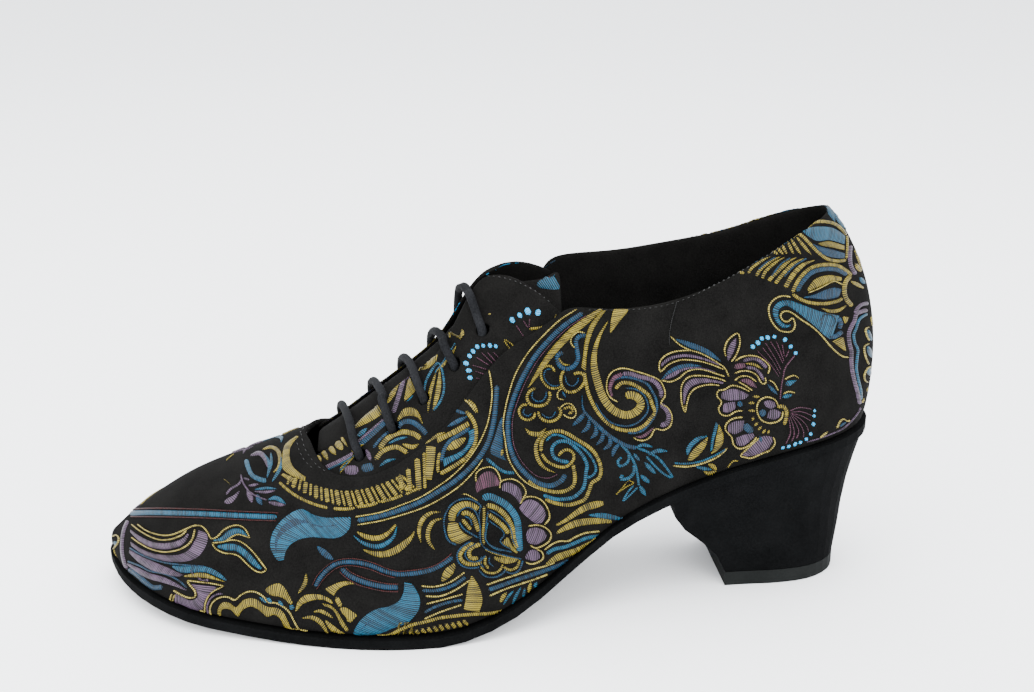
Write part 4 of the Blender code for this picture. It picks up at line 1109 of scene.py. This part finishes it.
# %% Chart of the heel: the hook, the fan of horns and the bird's eye leaf
BACK = (
    ("cream", "cord", 1.7,
     "791,297 782,296 774,299.5 769,306.5 769.5,316 773,323.5 779,330 786,332 792,331 795,325 "
     "792.5,318 788,321.5 783,320.5 780.5,315 784.5,311.3 791.5,312.5 801,319.5 811,326 821,335 "
     "829,344.5 837,352.5 843,356.5 849,357.3"),
    ("sky", "field", 0,
     "789.5,300 782,300.5 776,304 772.5,310.5 774.5,319 779.5,326 785,328 791,326|789.5,307 785,306 "
     "780,309 778.5,315 780.5,320.5 785,324 788,325 790,324"),
    ("sky", "field", 0,
     "789.5,300 798.5,303 808,306.5 819,310.5 830,313 840,315|789.5,307 798,313 806,319.5 815,327 "
     "823,335 831,341"),
    ("black", "cord", 1.4, "822,326 820,319.5 825,314.5 832,315.5 835,321 832,326 827,325 827,321"),
    ("blue", "band", 5, "829,337 836,336 843,331"),
    ("blue", "band", 5, "838,317 841,323 839,329"),
    ("gold", "field", 0, "832,341.5 838,346 845,351|843.5,336 845,343 846,351"),
    ("gold", "field", 0, "842,316 849.5,317|845,324 846,323"),
    ("lilac", "band", 4.5,
     "868,310 862,311.4 856.5,314 854.5,321 851.5,326.5 849,333.5 849.5,343 851.5,351 851.5,361 "
     "852.5,371.5 855,382.5 858,393.5 860,404.5"),
    ("sky", "band", 3,
     "868,313.5 862,317 858.5,321 856,329 853.7,334.7 855,343 858,349.7 857,359.5 856.5,369 858.5,380 "
     "861,391 861,400.5"),
    ("lilac", "band", 4, "869,303 862,304.5 857,309 855,314"),
    ("cream", "cord", 1.3, "869.5,327 865.3,329 866.7,336 869.5,341"),
    ("sky", "leaf", 4.5, "867.5,329 871.5,341"),
    ("cream", "cord", 1.3, "869.5,343 864,347 865.3,356.5 868.8,365"),
    ("sky", "leaf", 5.5, "867.5,345.5 872,358"),
    ("cream", "cord", 1.3, "871.5,366 866.7,369 864,376 865.3,381 868.8,382.5"),
    ("sky", "leaf", 6, "868.5,367 870,376"),
    ("cream", "cord", 1.2, "868,387 866.7,392"),
    ("cream", "cord", 1.2, "864,398 862,403"),
    ("cream", "cord", 1.2, "871,316 872,326"),
    ("sky", "field", 0,
     "815,201 820,198.5 826,200.5 831,205.5 833.5,212|817,209 822,210.5 827,213.5 832,219 836,224"),
    ("sky", "leaf", 5, "833,212 840,221 847,230"),
    ("sky", "field", 0, "803,222 809,217 816,211 823,210|806,221 812,218 818,214.5 824,213"),
    ("gold", "band", 3.5, "798,230 801,227.5 808,223.5 818,221.5 828.5,222 837,225 843.5,231 846.5,235.5"),
    ("gold", "band", 2.6, "847,235 847.5,245 846.5,259"),
    ("gold", "band", 3.5, "797,232 804,237.5 811,245 819,253 827.5,259 838,261 846.5,260"),
    ("sky", "field", 0,
     "802,229.7 811,227 820.5,226 831.5,227 839.5,231 845.5,236|802,231 809.5,237.5 817.5,241.5 "
     "828.5,240.5 838,242.5 845,245"),
    ("gold", "field", 0, "817,243.4 828.5,241 845,245.5|823,246 834,248 845,250.5"),
    ("blue", "field", 0, "811,242.7 819,246 831.5,249 845,253|817.5,251 827.5,256.5 838,258.5 845,258.5"),
    ("gold", "leaf", 3.4, "790,237.5 801.2,255"),
    ("gold", "leaf", 3.4, "796,236.5 811.5,255"),
    ("gold", "leaf", 3.4, "787,240 793.7,254.5"),
    ("gold", "leaf", 3.4, "781.5,243.5 787,254.5"),
    ("gold", "leaf", 3.4, "776.5,247 783.5,254.5"),
    ("gold", "leaf", 3.4, "771,249.5 778.5,254.5"),
    ("gold", "leaf", 3, "767,252.3 772,254.7"),
    ("gold", "horn", 5, "815,260 803,265 793,275 785,288"),
    ("gold", "horn", 4, "804,258 793,264 783,274 775,284"),
    ("gold", "horn", 4, "797,257 788,262 777,272 768,281.5"),
    ("gold", "horn", 3.5, "785,257 776,262 766,271 762,279"),
    ("gold", "horn", 3.5, "780.5,256.5 771,261 761,269 756,276.5"),
    ("gold", "horn", 3, "771,256.5 763,260 752,268 748,274"),
    ("gold", "horn", 3, "763.5,257 756,261 748,266 739,271.5"),
    ("blue", "band", 2, "807,258 794,266 784,277"),
    ("blue", "band", 2, "791,257.5 781,264 771,277"),
    ("blue", "band", 2, "776,257 766,263 758,270"),
    ("blue", "band", 2, "759,258.5 751,263 746,267"),
    ("gold", "band", 3, "738,272 745,273"),
    ("gold", "band", 4, "792.3,293 796,284.5 802.5,275 812,267.5 824.5,264.7 837,265.5 846.5,271 852,275.5"),
    ("gold", "band", 3.6, "792.3,294 801,299.5 812,303 826,303.5 838,301 843,298"),
    ("blue", "band", 5, "797,291.5 802.5,282 812,272.5 824.5,269 837,269.7 847.5,275"),
    ("blue", "field", 0,
     "804,296.8 815,294 826,289.3 834,287.3 842,288.6|804,298 812,298.5 826,299.7 836,298 840,296"),
    ("gold", "field", 0, "807,289.3 815,279 828.5,275 842,277|808.8,291.4 820.5,286.6 831.5,281.8 842,281"),
    ("cream", "cord", 1.4, "808,293 820,288 833,281.5 838,282.5 843,285"),
    ("gold", "band", 5, "851.2,275.6 846.5,280.5 844.5,288.5 846,298 852.5,306.5"),
    ("gold", "leaf", 4, "850,281 857.5,284.5 864,288.6"),
    ("gold", "leaf", 4, "821,308 830,311.2 839.5,310 846.5,305"),
    ("lilac", "band", 4.5, "851,245 850,254.5 851,265.5 856,275"),
    ("gold", "leaf", 3, "854,249 858.8,260 862,272"),
    ("gold", "leaf", 5, "855,263 861,272"),
    ("sky", "leaf", 4.5, "859.5,277 865,284"),
    # the rim of the far wall
    ("cream", "leaf", 2.5, "786,206.4 801.2,202.3 813.6,203"),
    ("blue", "band", 3, "764,214.7 782,210.5 800,207.8"),
    ("cream", "cord", 1.5, "747.8,219.5 773.8,218"),
    ("blue", "band", 3, "730,227 743.7,222.9"),
)
print("heel:", len(BACK), "shapes")

# %% [markdown]
# The facing repeats the vamp's leaves and fans at a smaller size. The bars under the throat
# and along the sole are evenly spaced, so a formula lays them and no place is charted.

# %% Chart of the eyelet facing, the bars and the tongue
FACING = (
    ("ice", "band", 4.6, "467,377.5 473,378"),
    ("ice", "band", 4.6, "465.5,370 472,371"),
    ("ice", "band", 4.6, "463,362 469,364.5"),
    ("ice", "band", 4.2, "467.5,354 471.5,358"),
    ("ice", "band", 4.2, "471,349 475,353.5"),
    ("ice", "band", 4.2, "475.5,344.5 479,349"),
    ("ice", "band", 4, "482,343.5 484.5,348"),
    ("ice", "band", 4.2, "488.5,343 491.5,348"),
    ("ice", "band", 3.8, "494.5,344 497,348.5"),
    ("rose", "cord", 1.2, "475,378 481,379"),
    ("rose", "cord", 1.2, "475,371 486,375"),
    ("rose", "cord", 1.2, "472,365 488,370"),
    ("rose", "cord", 1.2, "476,357 490,366"),
    ("rose", "cord", 1.2, "481,352 493,364"),
    ("rose", "cord", 1.2, "487,352 496,362"),
    ("rose", "cord", 1.2, "493,352 500,359"),
    ("lilac", "field", 0, "500,358 506,356 518,360|507,382 510,379 518,362"),
    ("sky", "leaf", 4, "493,368 497,363"),
    ("gold", "cord", 1.6, "512,352 504,340 510,343 513,346 510,351 518,355"),
    ("sky", "leaf", 3.5, "516,347 524,342"),
    ("ice", "band", 5, "510.5,317 514,323"),
    ("ice", "band", 4.6, "518,312.5 521.5,318"),
    ("ice", "band", 6, "526,307.5 529.5,315"),
    ("ice", "band", 5.6, "539,309 537,316"),
    ("rose", "cord", 1.2, "516,325 524,337"),
    ("rose", "cord", 1.2, "523,320 528,328"),
    ("rose", "cord", 1.2, "530,318 529,328"),
    ("gold", "horn", 3, "557,313 553,321 544,327 529,329"),
    ("cream", "leaf", 2.4, "488,314 491,314"),
    ("sky", "cord", 2.2, "424,392 427,379 438,363 443,374 444,390 440,402 433,411"),
    ("gold", "leaf", 4.2, "428,413 430,393 436,373"), ("gold", "leaf", 5.5, "433,411 438,391 440,370"),
    ("gold", "field", 0, "397,420 402,410 410,407 418,411 423,423|398,421 404,417 411,416 418,418 422,424"),
    ("blue", "band", 5.5, "397,428 403,422 412,422 421,428 427,435"),
    ("gold", "band", 5.5, "379,449 388,438 402,432 414,434 421,439"),
    ("sky", "leaf", 3, "388,444 398,439 408,437"), ("gold", "band", 5, "375,460 383,451 396,447 408,453"),
    ("gold", "leaf", 5, "402,444 412,447 419,444"), ("sky", "leaf", 3.5, "379,467 387,461 396,459"),
    ("blue", "band", 5.5, "357,447 371,435 386,421"),
    ("lilac", "band", 2.4, "355,444 369,432 384,419"),
    ("blue", "band", 3, "373,448 381,438 391,430"),
    ("lilac", "band", 5, "393,413 398,398 403,380 404,366"),
    ("lilac", "band", 5, "325,468 340,461 355,453"),
    ("sky", "cord", 1.6, "327,470 342,463 356,455"),
    ("gold", "field", 0, "404,401 406,388 409,373|405,401 411,396 416,391"),
    ("gold", "field", 0, "353,428 364,415 378,404|354,429 370,422 383,414"),
    ("sky", "leaf", 5, "357,437 367,428"),
    ("gold", "leaf", 6, "387,404 394,390 397,376"),
    ("sky", "leaf", 3, "383,381 391,375"),
    ("gold", "field", 0, "414,355 424,345 438,335|414,357 427,352 441,341"),
    ("gold", "field", 0, "414,362 426,360 438,354|417,371 427,369 436,362"),
    ("sky", "band", 4, "412,357 421,343 433,331"),
    ("gold", "leaf", 7, "441,318 447,327 450,338"),
    ("lilac", "leaf", 5, "366,449 371,461"),
    ("gold", "leaf", 5, "317,455 321,462"),
    ("gold", "leaf", 5.5, "321,448 328,460"),
    ("gold", "leaf", 6, "327,443 336,455"),
    ("gold", "leaf", 8, "334,439 343,450"),
    ("gold", "leaf", 3.5, "338,433 348,447"),
    ("gold", "cord", 1.5, "314,450 322,440 334,432"),
    ("sky", "band", 3.6, "315,453 325,442 337,432"),
    ("gold", "cord", 1.4, "317,456 327,445 339,435"),
    ("lilac", "band", 10, "344,470 359,470"),
    ("blue", "band", 9, "361,469 374,466"),
    ("gold", "field", 0, "325,419 332,418 341,424|324,424 333,427 341,429"),
    ("gold", "cord", 1.8, "321,424 326,430 334,431"),
)
COMB_BARS, LOW_BARS = 23, 12
COMB = []
for k in range(COMB_BARS):
    top = f"{291 + 5 * k},{475 + 15 * math.sin(math.pi * k / 22):.1f}"
    foot = f"{287 + 5.8 * k},{485 + 22 * math.sin(math.pi * k / 23):.1f}"
    COMB.append(("gold", "band", 4.6 if k % 2 else 2.6, f"{top} {foot}"))
LOW_COMB = []
for k in range(LOW_BARS):
    top, foot = f"{397 + 6 * k},{633 - 1.2 * k:.1f}", f"{402 + 6 * k},{639.5 - 1.2 * k:.1f}"
    LOW_COMB.append(("gold", "band", 4.0, f"{top} {foot}"))
STRIPES = (
    ("gold", "band", 5.5, "400,474 402,490"),
    ("gold", "band", 5, "408,468 410,492"),
    ("gold", "band", 6, "417,458 419,491"),
    ("gold", "band", 3.5, "424,452 425,489"),
    ("gold", "leaf", 4.5, "425,444 434,437 446,432"),
    ("gold", "leaf", 4, "428,437 438,428 450,421"),
    ("gold", "leaf", 4, "436,424 447,414 456,406"),
    ("cream", "leaf", 2.6, "462,398 470,404 476,413"), ("blue", "leaf", 3.5, "430,415 440,412 450,414"),
)
TONGUE = (
    ("sky", "field", 0, "404,263 430,258 455,246|402,282 428,279 446,272"),
    ("lilac", "band", 5, "400,268 412,263 424,258"),
    ("gold", "band", 4, "455,262 468,254 480,250"),
    ("sky", "field", 0, "536,284 543,276 551,268|540,288 552,290 562,290"),
    ("red", "leaf", 1.6, "543,281 545,284"),
    ("red", "leaf", 1.6, "549,276 551,280"),
    ("red", "leaf", 1.6, "548,284 550,287"),
    ("red", "leaf", 1.6, "553,281 555,285"),
    ("black", "leaf", 1.4, "546,278 547,283"),
    ("black", "leaf", 1.4, "552,285 554,288"),
)

# %% [markdown]
# Seams show as short single stitches with gaps between them. One helper cuts a charted line
# into such stitches, and the side seam is one dark cord.

# %% Stitch rows of the facing and the throat
def row_of_stitches(text, long_px=3.2, gap_px=2.2):
    """Short single stitches along a charted line."""
    line = smooth_line(places(text), 0.5)
    rows, reach = [], 0.0
    start = line[0]
    for a, b in zip(line, line[1:]):
        reach += (b - a).length
        if reach >= long_px + gap_px:
            cut = start.lerp(b, long_px / (long_px + gap_px))
            rows.append(("grey", "cord", 1.0, f"{start.x:.2f},{start.y:.2f} {cut.x:.2f},{cut.y:.2f}"))
            start, reach = b, 0.0
    return rows


SEAM_ROWS = row_of_stitches("487,276 500,277 515,281 530,288 545,298 552,304")
UPPER_SEAMS = (row_of_stitches("301,433 304,446 310,457 319,467 331,474")
               + row_of_stitches("296,437 299,450 305,461 315,470")
               + row_of_stitches("588,310 620,310 650,308 680,301 715,285 750,266 785,244 812,220")
               + [("black", "cord", 1.2, "677,301 671.7,320 669.3,333.6 669.3,343 670.7,345.7")])
print("facing:", len(FACING), "shapes,", len(SEAM_ROWS), "seam stitches")

# %% [markdown]
# Every chart is now laid on its own piece. The unseen inner side takes the same shapes,
# turned over the middle of the upper's width.

# %% Lay the charts on the upper, the facings and the tongue
outer_cloth, facing_cloth, tongue_cloth = outer_faces(upper), outer_faces(facings[0]), outer_faces(tongue)
outside, inside = empty_meshes(), empty_meshes()
for chart in (TOE, VAMP, FLOWER, WAIST, QUARTER, BACK, COMB, LOW_COMB, STRIPES, UPPER_SEAMS):
    lay_chart(chart, outer_cloth, outside, inside)
finish_meshes(outside, "outer")
finish_meshes(inside, "inner")
near_side, far_side, tongue_side = empty_meshes(), empty_meshes(), empty_meshes()
lay_chart((*FACING, *SEAM_ROWS), facing_cloth, near_side, far_side, outer_faces(facings[1]))
finish_meshes(near_side, "facing")
finish_meshes(far_side, "inner_facing")
lay_chart(TONGUE, tongue_cloth, tongue_side)
finish_meshes(tongue_side, "tongue")
